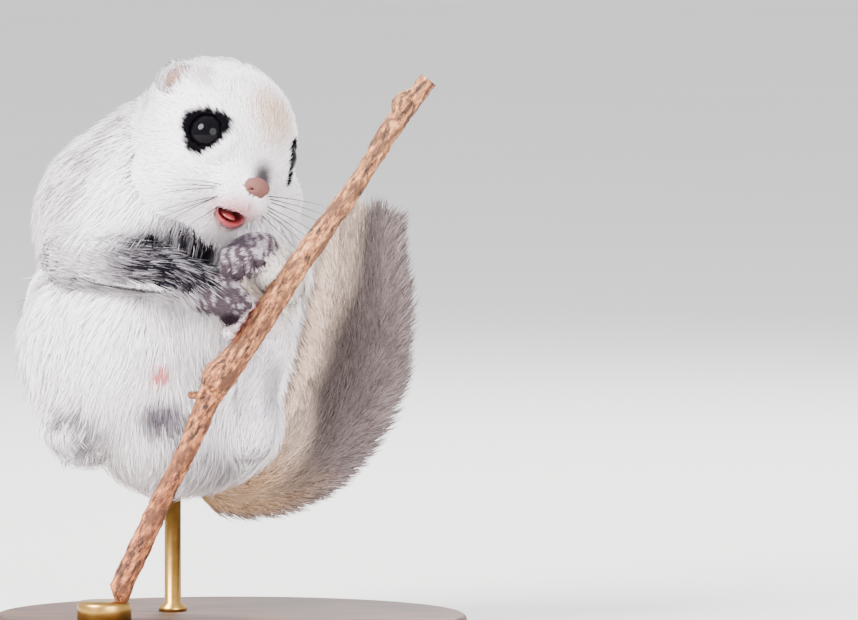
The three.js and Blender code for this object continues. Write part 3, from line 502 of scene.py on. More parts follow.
def coat_colour(points, part):
    """The colour of coat and skin at points in millimetres: white below, streaked grey above."""
    points = np.asarray(points, float)
    along = points * [1.0, 1.0, 0.4]
    streak = 0.6 * noise(along, 1.9, 1) + 0.4 * noise(along, 0.8, 2)
    shade = np.tile(WHITE, (len(points), 1))

    def lay(tint, share):
        nonlocal shade
        share = np.clip(share, 0, 1)[:, None]
        shade = shade * (1 - share) + tint * share

    head = to_head(points)
    lay(LAVENDER, 0.35 * noise(points, 9, 3))
    trunk, arm = part == TRUNK, part == ARM_RIGHT
    behind = np.clip((points[:, 1] + 4 + 0.35 * (-20 - points[:, 0])) / 14, 0, 1)
    above = np.clip((points[:, 2] - 84) / 8, 0, 1)
    upper = np.clip((points[:, 1] + 26 - 0.55 * (points[:, 0] + 44)) / 10, 0, 1) * above
    back = np.maximum(behind * (points[:, 1] > -8), upper)
    lay(GREY, trunk * back * (0.12 + 0.7 * streak))
    lay(DARK, trunk * back * 0.42 * np.clip((streak - 0.54) * 5, 0, 1))
    lay(GREY, arm * (0.55 + 0.3 * streak))
    wrist = np.clip((points[:, 0] + 34) / 10, 0, 1) * np.clip((points[:, 2] - 84.6) / 2, 0, 1)
    lay(CHARCOAL, arm * wrist * np.clip(1.9 - 1.6 * noise(points, 1.3, 6), 0, 1))
    lay(CHARCOAL, trunk * blot(points, (-13, -20, 94), (15, 12, 8)) * np.clip(1.4 - streak, 0, 1))
    lay(CREAM, trunk * 0.9 * blot(points, (10, -14, 86), (10, 12, 9)))
    lay(CREAM, (part == ARM_LEFT) * 0.5)
    lay(ASH, trunk * 0.95 * blot(points, (-15.4, -20, 55), (5.4, 12, 5.2), 0.5) * (0.35 + 1.1 * streak))
    lay(BARE_SPOT, trunk * blot(points, (-16, -21, 66), (2.3, 8, 2.1), 0.4))
    # Grey streaks low on the right haunch: partly the hair's own dark tips, partly painted shade in the fold
    # at the haunch's lower front
    lay(ASH, trunk * blot(points, (-38, -10, 50), (9, 16, 9), 0.6) * np.clip((streak - 0.36) * 4, 0, 1))
    lay(ASH, trunk * 0.55 * blot(points, (-3, -12, 41), (8, 12, 8), 0.6) * (0.3 + 1.2 * streak))
    # A dark stripe down the left leg: painted shadow in the gap between the leg and the tail
    lay(DARK, (part == LEG_LEFT) * 0.8 * blot(points, (10, -12, 62), (2.6, 9, 8), 0.5))
    lay(LAVENDER, (part == LEG_LEFT) * 0.4)
    hands = (part == HAND_RIGHT) | (part == HAND_LEFT)
    stripe = noise(points * [1.0, 0.6, 0.3], 0.5, 9)
    lay(HAND_GREY, hands)
    lay(HAND_PALE, hands * 0.55 * np.clip((stripe - 0.56) * 7, 0, 1))
    # Darker at the right hand's finger tips
    lay(FINGERTIP_DARK, (part == HAND_RIGHT) * blot(points, (0.6, -28, 78.9), (3, 5, 2), 0.5))
    lay(DARK, (part == HAND_LEFT) * 0.8 * blot(points, (2, -25, 97.5), (6, 5, 2), 0.6))
    feet = (part == FOOT_LEFT) | (part == FOOT_RIGHT)
    lay(PINK, feet * 0.35)
    place_on_twig = curve_points(TWIG, np.linspace(0.4, 0.75, 40))[0]
    near_twig = np.full(len(points), 99.0)
    near_twig[feet] = np.linalg.norm(points[feet, None] - place_on_twig, axis=2).min(axis=1)
    lay(TOE_PINK, feet * np.clip((4.3 - near_twig) / 0.7, 0, 1))
    ears = part == EAR
    lay(EAR_GREY, ears * (0.35 + 0.5 * streak))
    for place, axes in EARS.values():
        local = (points - place) @ axes.T
        lay(EAR_TAN, ears * 0.9 * (local[:, 1] > -0.4) * blot(local, (0, 1, -0.5), (3.2, 3, 4.4), 0.4))
    face = part == HEAD
    lay(TAN, face * 0.85 * blot(head, (-2.5, 8.8, 14.5), (6.5, 7.5, 6), 0.7) * (0.5 + 0.6 * streak))
    nape = np.clip(-(head[:, 1] + 2) / 8, 0, 1) * np.clip((head[:, 2] + 8) / 6, 0, 1)
    lay(GREY, face * 0.8 * nape * (0.15 + 0.8 * streak))
    lay(DARK, face * 0.3 * nape * np.clip((streak - 0.54) * 5, 0, 1))
    mirrored = np.column_stack([np.abs(head[:, 0]), head[:, 1:]])
    lay(EAR_TUFT, face * 0.8 * blot(mirrored, (11.8, -2.5, 13), (2.6, 4, 4.4), 0.6) * (0.3 + streak))
    lay(BRIDGE, face * 0.95 * blot(head, (-2.0, 19.2, 2.7), (3.3, 4.4, 3.3), 0.6))
    lay(LAVENDER, face * 0.7 * blot(head, (2.6, 19, -3.6), (3.6, 3, 3), 0.5))
    lay(PINK, face * 0.6 * blot(head, (1.6, 20, -5.2), (4.2, 2.4, 2.4), 0.5))
    lay(PATCH_BLACK, face * eye_patch(points))
    lay(BLUSH, face * 0.6 * blot(head, (1.7, 19.8, -8.8), (6.4, 5, 4.6), 0.6))
    lay(ROSE, (face | (part == BARE)) * blot(head, (1.7, 19.6, -9.6), (4.3, 4, 2.6), 0.25))
    lay(RED, (face | (part == BARE)) * blot(head, (1.8, 17.6, -8.7), (3.9, 4.4, 2.2), 0.25))
    lay(NOSE_PINK, (part == BARE) * (head[:, 2] > -3.5))
    tail = part == TAIL
    lay(TAIL_GREY, tail)
    return np.clip(shade, 0, 1)


def mesh_piece(name, vertices, faces, shades=None, places=None, normals=None):
    """A mesh object from millimetres, with a colour and a shading normal for each vertex and a place on
    the bake map for each corner, where they are given."""
    mesh = bpy.data.meshes.new(name)
    faces = np.asarray(faces)
    sides = faces.shape[1]
    mesh.vertices.add(len(vertices))
    mesh.vertices.foreach_set("co", np.ascontiguousarray(vertices * MM, np.float32).ravel())
    mesh.loops.add(faces.size)
    mesh.loops.foreach_set("vertex_index", np.ascontiguousarray(faces, np.int32).ravel())
    mesh.polygons.add(len(faces))
    mesh.polygons.foreach_set("loop_start", np.arange(len(faces), dtype=np.int32) * sides)
    mesh.polygons.foreach_set("use_smooth", np.ones(len(faces), bool))
    mesh.update(calc_edges=True)
    mesh.validate()
    if shades is not None:
        layer = mesh.color_attributes.new("coat", "FLOAT_COLOR", "POINT")
        rgba = np.concatenate([shades, np.ones((len(shades), 1))], axis=1)
        layer.data.foreach_set("color", np.ascontiguousarray(rgba, np.float32).ravel())
    if places is not None:
        layer = mesh.uv_layers.new(name="OFBake")
        layer.data.foreach_set("uv", np.ascontiguousarray(places, np.float32).ravel())
    if normals is not None:
        mesh.normals_split_custom_set_from_vertices(normals.tolist())
    piece = bpy.data.objects.new(name, mesh)
    bpy.context.collection.objects.link(piece)
    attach(piece, "root")
    return piece


def add_node(tree, kind, settings=None, links=None):
    """A node with its settings, and its inputs linked or set."""
    node = tree.nodes.new(kind)
    for name, value in (settings or {}).items():
        setattr(node, name, value)
    for name, value in (links or {}).items():
        if isinstance(value, bpy.types.NodeSocket):
            tree.links.new(value, node.inputs[name])
        else:
            node.inputs[name].default_value = value
    return node


def new_material(name, **sockets):
    """A material of one shader, with constant sockets set, and its node tree and shader."""
    material = bpy.data.materials.new(name)
    material.use_nodes = True
    shader = material.node_tree.nodes["Principled BSDF"]
    for socket, value in sockets.items():
        shader.inputs[socket.replace("_", " ")].default_value = value
    return material, material.node_tree, shader


def fur_material(name, roughness, bump):
    """Soft hair that takes its colour from the piece, with a fine grain of hairs as bump."""
    material, tree, shader = new_material(name, Roughness=roughness, Sheen_Roughness=0.5)
    paint = add_node(tree, "ShaderNodeVertexColor", {"layer_name": "coat"})
    tree.links.new(paint.outputs["Color"], shader.inputs["Base Color"])
    lightness = {0: paint.outputs["Color"], 1: 0.2}
    shine = add_node(tree, "ShaderNodeMath", {"operation": "MULTIPLY"}, lightness)  # less on dark hair
    for socket in ("Sheen Weight", "Specular IOR Level"):
        tree.links.new(shine.outputs["Value"], shader.inputs[socket])
    spots = add_node(tree, "ShaderNodeTexCoord").outputs["Object"]
    grain = add_node(tree, "ShaderNodeTexNoise", None, {"Vector": spots, "Scale": 2200.0, "Detail": 3.0})
    relief = {"Height": grain.outputs["Fac"], "Strength": bump, "Distance": 0.0003}
    tree.links.new(add_node(tree, "ShaderNodeBump", None, relief).outputs["Normal"], shader.inputs["Normal"])
    return material


# Dense wool close to the skin: quite dull. Guard hairs over it: smoother, with a faint gleam.
UNDERCOAT = fur_material("soft undercoat", 0.9, 0.6)
HAIR = fur_material("guard hair", 0.75, 0.1)

skin_spots, skin_quads = surface_of(flesh)
skin_spots = GRID_LOW + GRID_STEP * skin_spots
skin_parts = part_of(skin_spots)
skin = mesh_piece("skin", skin_spots, skin_quads, coat_colour(skin_spots, skin_parts))
skin.data.materials.append(UNDERCOAT)
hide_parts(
    "head", "lower_jaw", "nose", "ear_right", "ear_left", "neck", "chest", "abdomen", "rump",
    "upper_arm_right", "upper_arm_left", "forearm_right", "forearm_left", "hand_right", "hand_left",
    "thigh_right", "thigh_left", "shank_right", "shank_left", "foot_right", "foot_left",
    "membrane_right", "membrane_left", "tail_root", "tail_middle", "tail_tip",
)

# Coat
# Short fur as small three-sided tufts rooted in the skin, each bent over the body along the lie of the
# coat. They are smallest on the face and feet, and part into pieces by place.

rng = np.random.default_rng(29)
GUIDES = {part: curve_points(stations, np.linspace(0, 1, 40)) for part, stations in LIMBS.items()}
COAT = {  # tufts on a square millimetre, length, height over the skin and width, in millimetres
    HEAD: (13, 4.0, 1.1, 0.19), EAR: (22, 2.6, 0.6, 0.17), TRUNK: (8.6, 7.0, 2.4, 0.25),
    ARM_RIGHT: (11, 6.0, 1.8, 0.26), ARM_LEFT: (10, 4.6, 1.4, 0.24), LEG_RIGHT: (9, 5.0, 1.8, 0.26),
    LEG_LEFT: (10, 4.0, 1.3, 0.24), HAND_RIGHT: (16, 1.8, 0.5, 0.15), HAND_LEFT: (16, 1.8, 0.5, 0.15),
    FOOT_RIGHT: (14, 2.0, 0.55, 0.17), FOOT_LEFT: (14, 2.0, 0.55, 0.17), MEMBRANE: (8, 3.0, 0.6, 0.2),
    TAIL: (0, 0, 0, 0), BARE: (0, 0, 0, 0),
}
PIECE_MOST = 33000  # tufts in one piece of the coat


def lie_of(points, out, part):
    """The way the coat lies: back from the nose, away from the head over the trunk, and along the limbs."""
    way = points - (HEAD_AT + [0, 0, 4]) + [0, 0, -12]
    on_head = part == HEAD
    way[on_head] = points[on_head] - NOSE_AT + HEAD_AXES[1] * 2
    for place, axes in EARS.values():
        near = (part == EAR) & (np.linalg.norm(points - place, axis=1) < 9)
        way[near] = axes[2]
    for limb, (places, headings) in GUIDES.items():
        mine = part == limb
        if mine.any():
            nearest = np.linalg.norm(points[mine, None] - places, axis=2).argmin(axis=1)
            way[mine] = headings[nearest]
    way[part == MEMBRANE] += [0, 0, -40]
    way = unit(way - out * (way * out).sum(axis=1, keepdims=True))
    swirl = 0.9 * (noise(points, 7, 5) - 0.5)
    return way * np.cos(swirl)[:, None] + np.cross(out, way) * np.sin(swirl)[:, None]


def over_skin(points, height):
    """Points moved to the given height over the skin, and the way out there."""
    depth, out = read_grid(points)
    return points + out * (height - depth)[:, None], out


def unwrapped(points, part):
    """Places from 0 to 1 on a flat map of the body: the head and the trunk each as a ball folded out to
    a square, and each limb as a strip of its length by the angle round it."""
    middle = np.where((part == HEAD)[:, None] | (part == EAR)[:, None], HEAD_AT, TRUNK_MIDDLE)
    ball = points - middle
    ball /= np.abs(ball).sum(axis=1, keepdims=True)
    fold = (1 - np.abs(ball[:, [2, 0]])) * np.where(ball[:, [0, 2]] >= 0, 1, -1)
    flat = np.where(ball[:, [1]] > 0, fold, ball[:, [0, 2]]) * 0.49 + 0.5
    for strip, (limb, (places, headings)) in enumerate(GUIDES.items()):
        mine = part == limb
        if mine.any():
            apart = points[mine, None] - places
            nearest = np.linalg.norm(apart, axis=2).argmin(axis=1)
            spoke = points[mine] - places[nearest]
            angle = np.arctan2(spoke[:, 1], spoke[:, 2]) / (2 * np.pi) + 0.5
            flat[mine] = np.stack([(strip + 0.05 + 0.9 * angle) / 8, 0.02 + 0.96 * nearest / 39], axis=1)
    return flat


# A tuft is a bent spindle: a point at its root, a ring of three corners and a point at its tip
TUFT_FACES = np.array([(0, 2, 3), (0, 3, 1), (0, 1, 2), (4, 3, 2), (4, 1, 3), (4, 2, 1)])
TUFT_PATCH = 0.0015 * np.array([(0, -1), (-1, 0), (1, 0), (0, 0.3), (0, 1)])
# Colour along a tuft: darker at the root as painted shade deep among the hairs, a little paler at the tip
TUFT_PAINTED_SHADE = np.array([0.84, 0.97, 0.97, 1.0, 1.05])
ROOT_DEPTH = 0.3  # how far under the skin a tuft starts
BARE_LID = 0.3  # width of bare lid round the eyeball


def tufts(roots, out, part):
    """Vertices, faces, colours, map places and normals of one tuft at each root. A tuft runs along the
    lie of the coat, rises to its height over the skin at its ring and tip, and is shaded mostly as the
    body under it is."""
    count = len(roots)
    _, length, height, width = np.array([COAT[p] for p in range(14)])[part].T
    nose_far = np.linalg.norm(roots - NOSE_AT, axis=1)
    eye_far = np.minimum(*(np.linalg.norm(roots - place, axis=1) for place, _ in EYES.values()))
    nape = 1 + 0.7 * (part == HEAD) * np.clip(-to_head(roots)[:, 1] / 12, 0, 1)
    near_nose = 0.26 + 0.74 * np.clip((nose_far - 3) / 15, 0, 1)
    near_eye = 0.36 + 0.64 * np.clip((eye_far - 5.4) / 5, 0, 1)
    small = np.where(part == HEAD, np.minimum(near_nose, near_eye), 1.0)
    vary = rng.uniform(0.75, 1.2, count)
    stray = np.where(rng.random(count) < 0.1, 1.5, 1.0)
    length = length * small * nape * vary
    height = height * nape * small**0.6 * rng.uniform(0.7, 1.1, count) * stray
    width = width * small**0.4
    way = lie_of(roots, out, part)
    turn = rng.normal(0, 0.17, count)
    way = way * np.cos(turn)[:, None] + np.cross(out, way) * np.sin(turn)[:, None]
    base = roots - out * ROOT_DEPTH
    middle, out_middle = over_skin(roots + way * (0.42 * length)[:, None], height * 0.78)
    way_middle = unit(0.5 * way + 0.5 * lie_of(middle, out_middle, part))
    tip, _ = over_skin(middle + way_middle * (0.58 * length)[:, None], height)
    across = unit(np.cross(way_middle, out_middle))
    half = across * (0.5 * width)[:, None]
    ridge = middle + out_middle * (0.35 * width)[:, None]
    spots = np.stack([base, middle - half, middle + half, ridge, tip], axis=1)
    soft = out_middle * 0.7
    normals = np.stack([soft, soft - across, soft + across, soft, soft + 0.3 * way_middle], axis=1)
    faces = TUFT_FACES + 5 * np.arange(count)[:, None, None]
    spread = np.where(part == ARM_RIGHT, 0.2, 0.05)
    frost = 0.13 * ((part == ARM_RIGHT) & (rng.random(count) < 0.13))
    grey_hair = np.where(rng.random(count) < 0.1, 0.8, 1.0)
    own_shade = coat_colour(middle, part) * (grey_hair + spread * rng.standard_normal(count))[:, None]
    own_shade += frost[:, None]
    # each tuft painted darker at its root, as shade among the hairs
    shades = np.clip(own_shade[:, None] * TUFT_PAINTED_SHADE[:, None], 0, 1)
    places = unwrapped(roots, part)[:, None] + TUFT_PATCH
    corners = places[np.arange(count)[:, None, None], TUFT_FACES]
    return (
        spots.reshape(-1, 3), faces.reshape(-1, 3), shades.reshape(-1, 3), corners.reshape(-1, 2),
        unit(normals).reshape(-1, 3),
    )


def scatter():
    """Roots over the skin, as many in each place as its coat asks for: places, ways out and parts."""
    corners = skin_spots[skin_quads]
    normals = np.cross(corners[:, 2] - corners[:, 0], corners[:, 3] - corners[:, 1])
    area = 0.5 * np.linalg.norm(normals, axis=1)
    part = skin_parts[skin_quads[:, 0]]
    wanted = area * np.array([COAT[p][0] for p in range(14)])[part]
    count = (wanted + rng.random(len(wanted))).astype(int)
    quad = np.repeat(np.arange(len(count)), count)
    a, b = rng.random((2, len(quad), 1))
    spot = (corners[quad, 0] * (1 - a) + corners[quad, 1] * a) * (1 - b)
    spot += (corners[quad, 3] * (1 - a) + corners[quad, 2] * a) * b
    out = read_grid(spot)[1]
    eyes = np.minimum(*(np.linalg.norm(spot - place, axis=1) for place, _ in EYES.values()))
    mouth = blot(to_head(spot), (1.7, 19.2, -8.9), (3.9, 5, 2.3), 0.1)
    keep = (eyes > EYE_RADIUS + BARE_LID) & (mouth < 0.5)
    return spot[keep], out[keep], part[quad[keep]]


roots, ways_out, root_parts = scatter()
front = roots[:, 1] < TRUNK_MIDDLE[1] - 3
high = roots[:, 2] > 84
on_trunk = root_parts == TRUNK
forward_of_ears = to_head(roots)[:, 1] > 2
COAT_PIECES = {
    "coat_face": ((root_parts == HEAD) & forward_of_ears, "white_fur"),
    "coat_crown": ((root_parts == HEAD) & ~forward_of_ears | (root_parts == EAR), "grey_fur"),
    "coat_chest": (on_trunk & front & high, "grey_fur"),
    "coat_shoulders": (on_trunk & ~front & high, "grey_fur"),
    "coat_belly": (on_trunk & front & ~high, "white_fur"),
    "coat_back": (on_trunk & ~front & ~high & (roots[:, 2] > 60), "grey_fur"),
    "coat_rump": (on_trunk & ~front & (roots[:, 2] <= 60), "grey_fur"),
    "coat_arms": (np.isin(root_parts, (ARM_RIGHT, ARM_LEFT)), "dark_fur"),
    "coat_hands": (np.isin(root_parts, (HAND_RIGHT, HAND_LEFT)), "paw_fur"),
    "coat_membranes": (root_parts == MEMBRANE, "white_fur"),
    "coat_legs": (np.isin(root_parts, (LEG_RIGHT, LEG_LEFT)), "white_fur"),
    "coat_feet": (np.isin(root_parts, (FOOT_RIGHT, FOOT_LEFT)), "foot_fur"),
}
for name, (mine, slot) in COAT_PIECES.items():
    mine = rng.permutation(np.flatnonzero(mine))[:PIECE_MOST]
    piece = mesh_piece(name, *tufts(roots[mine], ways_out[mine], root_parts[mine]))
    piece.data.materials.append(HAIR)

# Tail plume
# Long hair combed out to both sides of the core, in three lengths of tail. A hair's place is a share of
# the tail's length, a share of the plume's half width and a height off its plane.

TAIL_SPAN = np.linalg.norm(np.diff(curve_points(TAIL_LINE, np.linspace(0, 1, 200))[0], axis=0), axis=1).sum()
COMBED = 0.135  # how far along the tail a hair reaches, as a share of its length


def tail_place(share, across, off):
    """Places on the tail, and the tail's headings there."""
    place, heading = curve_points(TAIL_LINE, share)
    place = place + heading * (np.maximum(share - 1, 0) * TAIL_SPAN)[:, None]
    side = unit(np.cross(TAIL_FACE, heading))
    width = size_at(TAIL_LINE, share, 3)
    return place + side * (across * width)[:, None] + TAIL_FACE * off[:, None], heading


def tail_colour(share, outer, along):
    """Tan at the root and cream inside, then a dark band that winds up the tail, then grey brown outside,
    all with paler tips. Outer is -1 at the plume's inner edge and 1 at its outer edge."""
    count = len(share)
    streak = noise(np.stack([share * 30, outer * 5, np.zeros(count)], axis=1), 1.0, 8)
    shade = np.tile(TAIL_GREY, (count, 1))

    def lay(tint, amount):
        nonlocal shade
        amount = np.clip(amount, 0, 1)[:, None]
        shade = shade * (1 - amount) + tint * amount

    middle = np.interp(share, (0.3, 0.45, 0.6, 0.75, 0.9), (0.45, 0.25, -0.2, -0.1, 0.2))
    lay(TAIL_CREAM, (middle - outer - 0.05) * 3)
    lay(TAIL_TAN, 1.1 * np.clip((0.46 - share) * 5, 0, 1) * np.clip(1.1 - 0.6 * outer, 0, 1))
    band = np.exp(-(((outer - middle) / 0.24) ** 2)) * np.clip((share - 0.2) * 5, 0, 1)
    lay(TAIL_DARK, band * (0.35 + 0.55 * streak) * np.clip((1.06 - share) * 9, 0.35, 1))
    streaked = np.clip((outer - middle) * np.clip((1 - outer) * 3, 0, 1), 0, 1)
    lay(TAIL_DARK, 0.8 * streaked * np.clip(streak * 2.6 - 1, 0, 1))
    lay(TAIL_EDGE, 0.6 * np.clip((outer - 0.7) * 3, 0, 1))
    lay(TAIL_TIP, 0.4 * np.clip((along - 0.62) * 2.5, 0, 1))
    return shade


# A long hair has a point at its root, two rings of three corners and a point at its tip
HAIR_SIDES = [(a, a + 3, b + 3) for a, b in ((2, 3), (3, 1), (1, 2))]
HAIR_SIDES += [(a, b + 3, b) for a, b in ((2, 3), (3, 1), (1, 2))]
HAIR_FACES = np.array([(0, 2, 3), (0, 3, 1), (0, 1, 2), *HAIR_SIDES, (7, 6, 5), (7, 4, 6), (7, 5, 4)])
HAIR_PATCH = 0.0015 * np.array(
    [(0, -1), (-1, -0.4), (1, -0.4), (0, -0.3), (-0.8, 0.4), (0.8, 0.4), (0, 0.5), (0, 1)]
)


def tail_hair(count, low, high, seed):
    """Hairs rooted between two shares of the tail's length: vertices, faces, colours and map places. A
    hair leaves the core, runs on along the tail and swings out to the plume's edge."""
    draw = np.random.default_rng(seed)
    share = draw.uniform(low, high, count)
    face = np.where(draw.random(count) < 0.5, 1.0, -1.0)
    start = draw.uniform(-0.35, 0.35, count)
    side = np.where(start + draw.normal(0, 0.14, count) > 0, 1.0, -1.0)
    spread = draw.beta(1.3, 1.0, count)
    end = side * (0.08 + 0.96 * spread) * draw.uniform(0.92, 1.05, count)
    end = np.where(draw.random(count) < 0.28, 1.25 * start, end)
    stretch = COMBED * draw.uniform(0.75, 1.15, count) * (1.3 - 0.35 * spread)
    thickness = size_at(TAIL_LINE, share, 4)
    width = draw.uniform(0.3, 0.46, count)
    wave = draw.normal(0, 0.05, count)
    lit = np.clip(1 + 0.24 * draw.standard_normal(count), 0.45, 1.5)
    out = TAIL_FACE * face[:, None]
    spots, shades = [], []
    for t, taper in ((0.0, 0), (0.4, 1.0), (0.75, 0.75), (1.0, 0)):
        gone = share + stretch * t**0.9
        across = start + (end - start) * t**1.15 + wave * np.sin(3 * t)
        off = face * thickness * (0.6 + 0.85 * t) * (1 - 0.8 * t * np.abs(across))
        place, _ = tail_place(gone, across, off)
        ahead, _ = tail_place(gone + 0.01, across + (end - start) * 0.06, off)
        sideways = unit(np.cross(unit(ahead - place), out))
        # the root point of each hair is painted darker (0.8), as shade among the hairs at the core
        shade = tail_colour(gone, -across, np.full(count, t)) * (lit * (0.8 if t == 0 else 1.0))[:, None]
        if taper == 0:
            spots.append(place[:, None])
        else:
            half = sideways * (0.5 * taper * width)[:, None]
            ridge = place + out * (0.35 * taper * width)[:, None]
            spots.append(np.stack([place - half, place + half, ridge], axis=1))
        shades.append(np.repeat(shade[:, None], 1 if taper == 0 else 3, axis=1))
    faces = HAIR_FACES + 8 * np.arange(count)[:, None, None]
    tile = 0.25 + 0.5 * (face < 0)
    up_strip = 0.04 + 0.92 * (share - low) / (high - low)
    place = np.stack([tile + start * 0.3 + side * spread * 0.1, up_strip], axis=1)
    corners = (place[:, None] + HAIR_PATCH)[np.arange(count)[:, None, None], HAIR_FACES]
    return (
        np.concatenate(spots, axis=1).reshape(-1, 3), faces.reshape(-1, 3),
        np.clip(np.concatenate(shades, axis=1), 0, 1).reshape(-1, 3), corners.reshape(-1, 2),
    )


for name, count, low, high, seed in (
    ("plume_root", 8500, 0.02, 0.33, 41),
    ("plume_middle", 10500, 0.3, 0.62, 42),
    ("plume_tip", 11500, 0.58, 0.93, 43),
):
    piece = mesh_piece(name, *tail_hair(count, low, high, seed))
    piece.data.materials.append(HAIR)

# Eyes
# Balls of dark glass, set in the sockets under the lids. Iris and pupil are one brown-black, as in life.

# Wet and polished: nearly black, with small sharp reflections of the lamps
eye_gloss = {"Roughness": 0.03, "IOR": 1.38, "Specular_IOR_Level": 0.14}
eye_finish, eye_tree, eye_shader = new_material("moist eye", **eye_gloss)
spots = add_node(eye_tree, "ShaderNodeTexCoord").outputs["Object"]
speckle = add_node(eye_tree, "ShaderNodeTexNoise", None, {"Vector": spots, "Scale": 900.0})
ramp = add_node(eye_tree, "ShaderNodeMix", {"data_type": "RGBA"}, {"Factor": speckle.outputs["Fac"]})
ramp.inputs["A"].default_value = (*colour("020203"), 1)
ramp.inputs["B"].default_value = (*colour("08070b"), 1)
eye_tree.links.new(ramp.outputs["Result"], eye_shader.inputs["Base Color"])


def ring_faces(rings, sides):
    """Triangles over rings of vertices that close at both ends: two across each cell between one ring and
    the next, and a fan round each end point. The end points are the two vertices after the last ring."""
    ring, spoke = np.meshgrid(sides * np.arange(rings - 1), np.arange(sides), indexing="ij")
    near, near_next = ring + spoke, ring + (spoke + 1) % sides
    cells = np.stack([near, near_next, near_next + sides, near, near_next + sides, near + sides], axis=-1)
    spoke, following = np.arange(sides), (np.arange(sides) + 1) % sides
    start, last_ring = np.full(sides, rings * sides), (rings - 1) * sides
    start_fan = np.stack([start, following, spoke], axis=1)
    end_fan = np.stack([start + 1, last_ring + spoke, last_ring + following], axis=1)
    return np.concatenate([start_fan, end_fan, cells.reshape(-1, 3)])


def ball(at, half, axes=UPRIGHT, rings=40, sides=64):
    """A closed ball or egg with its axes as rows: circles as wide as the cosine of their rise, at the
    height of its sine."""
    turn = np.linspace(0, 2 * np.pi, sides, endpoint=False)
    rise = np.linspace(-np.pi / 2, np.pi / 2, rings + 1)[1:-1]
    level = np.outer(np.sin(rise), np.ones(sides))
    circles = [np.outer(np.cos(rise), np.cos(turn)), np.outer(np.cos(rise), np.sin(turn)), level]
    unit_ball = np.concatenate([np.stack(circles, axis=-1).reshape(-1, 3), [[0, 0, -1], [0, 0, 1]]])
    faces = ring_faces(rings - 1, sides)
    if np.linalg.det(axes) < 0:
        faces = faces[:, ::-1]
    return np.asarray(at) + (unit_ball * half) @ np.asarray(axes), faces


for side, name in ((1, "right"), (-1, "left")):
    place, axes = EYES[side]
    piece = mesh_piece(f"eyeball_{name}", *ball(place, np.full(3, EYE_RADIUS), axes))
    piece.data.materials.append(eye_finish)
    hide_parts(f"eye_{name}")

# Tongue
# A low moist cushion that fills the open mouth behind the lower lip.

# Wet flesh: red, with a soft gleam
tongue_finish, tongue_tree, tongue_shader = new_material("moist tongue", Roughness=0.28, Coat_Weight=0.4)
spots = add_node(tongue_tree, "ShaderNodeTexCoord").outputs["Object"]
buds = add_node(tongue_tree, "ShaderNodeTexNoise", None, {"Vector": spots, "Scale": 2600.0})
tint = add_node(tongue_tree, "ShaderNodeMix", {"data_type": "RGBA"}, {"Factor": buds.outputs["Fac"]})
tint.inputs["A"].default_value = (*colour("7d2426"), 1)
tint.inputs["B"].default_value = (*colour("974342"), 1)
tongue_tree.links.new(tint.outputs["Result"], tongue_shader.inputs["Base Color"])
tongue = mesh_piece("tongue_cushion", *ball(from_head((1.8, 17.6, -9.5)), (2, 2.6, 0.7), HEAD_AXES, 16, 24))
tongue.data.materials.append(tongue_finish)
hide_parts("tongue")

# Whiskers and claws
# Fine tapered tubes: whiskers fan back from the pads beside the nose, and each toe has a curved claw.


def tapered(line, radii, sides=6):
    """A closed tube: a circle of the given radius round each point, square to the line."""
    line, radii = np.asarray(line, float), np.asarray(radii, float)
    heading = unit(np.gradient(line, axis=0))
    across = unit(np.cross(heading, [0.3, 0.2, 0.93]))
    through = np.cross(heading, across)
    turn = np.linspace(0, 2 * np.pi, sides, endpoint=False)
    rim = np.cos(turn)[:, None] * across[:, None] + np.sin(turn)[:, None] * through[:, None]
    spots = (line[:, None] + rim * radii[:, None, None]).reshape(-1, 3)
    return np.concatenate([spots, [line[0], line[-1]]]), ring_faces(len(line), sides)


def joined(parts):
    """One mesh from several lists of vertices and triangles."""
    starts = np.cumsum([0] + [len(spots) for spots, _ in parts[:-1]])
    faces = [faces + start for (_, faces), start in zip(parts, starts)]
    return np.concatenate([spots for spots, _ in parts]), np.concatenate(faces)


def grained(name, dark, pale, scale, **sockets):
    """A material that varies between two colours by noise of the given scale."""
    material, tree, shader = new_material(name, **sockets)
    spots = add_node(tree, "ShaderNodeTexCoord").outputs["Object"]
    grain = add_node(tree, "ShaderNodeTexNoise", None, {"Vector": spots, "Scale": scale})
    mix = add_node(tree, "ShaderNodeMix", {"data_type": "RGBA"}, {"Factor": grain.outputs["Fac"]})
    mix.inputs["A"].default_value = (*colour(dark), 1)
    mix.inputs["B"].default_value = (*colour(pale), 1)
    tree.links.new(mix.outputs["Result"], shader.inputs["Base Color"])
    return material


whiskers = []
for side in (1, -1):
    for i in range(7):
        pad = from_head((side * (3.4 + 0.6 * (i % 3)), 18.2 - 0.8 * (i % 3), -2.4 - 0.55 * i))
        way = unit([-side, -0.5, 0.3 - 0.13 * i - 0.3 * (side < 0)])
        t = np.linspace(0, 1, 10)[:, None]
        line = pad + way * (21 - 1.5 * abs(i - 2.5)) * t + np.array([0, 4.5, -2.2]) * t**2
        whiskers.append(tapered(line, 0.17 * (1 - 0.8 * t[:, 0])))
whisker_piece = mesh_piece("whiskers", *joined(whiskers))
# Keratin: smooth and dark, so each hair has a thin gleam
whisker_piece.data.materials.append(grained("stiff whisker hair", "0d0b0e", "2c282e", 300.0, Roughness=0.45))

claws = []
for part, digits in DIGITS.items():
    for places in digits:
        tip, before = np.asarray(places[-1], float), np.asarray(places[-2], float)
        way = unit(tip - before)
        t = np.linspace(0, 1, 7)[:, None]
        bend = np.array([0.1, 0.25, -0.6])
        claws.append(tapered(tip - way * 0.2 + way * 1.7 * t + bend * t**2, 0.36 * (1 - 0.85 * t[:, 0]), 8))
claw_piece = mesh_piece("claws", *joined(claws))
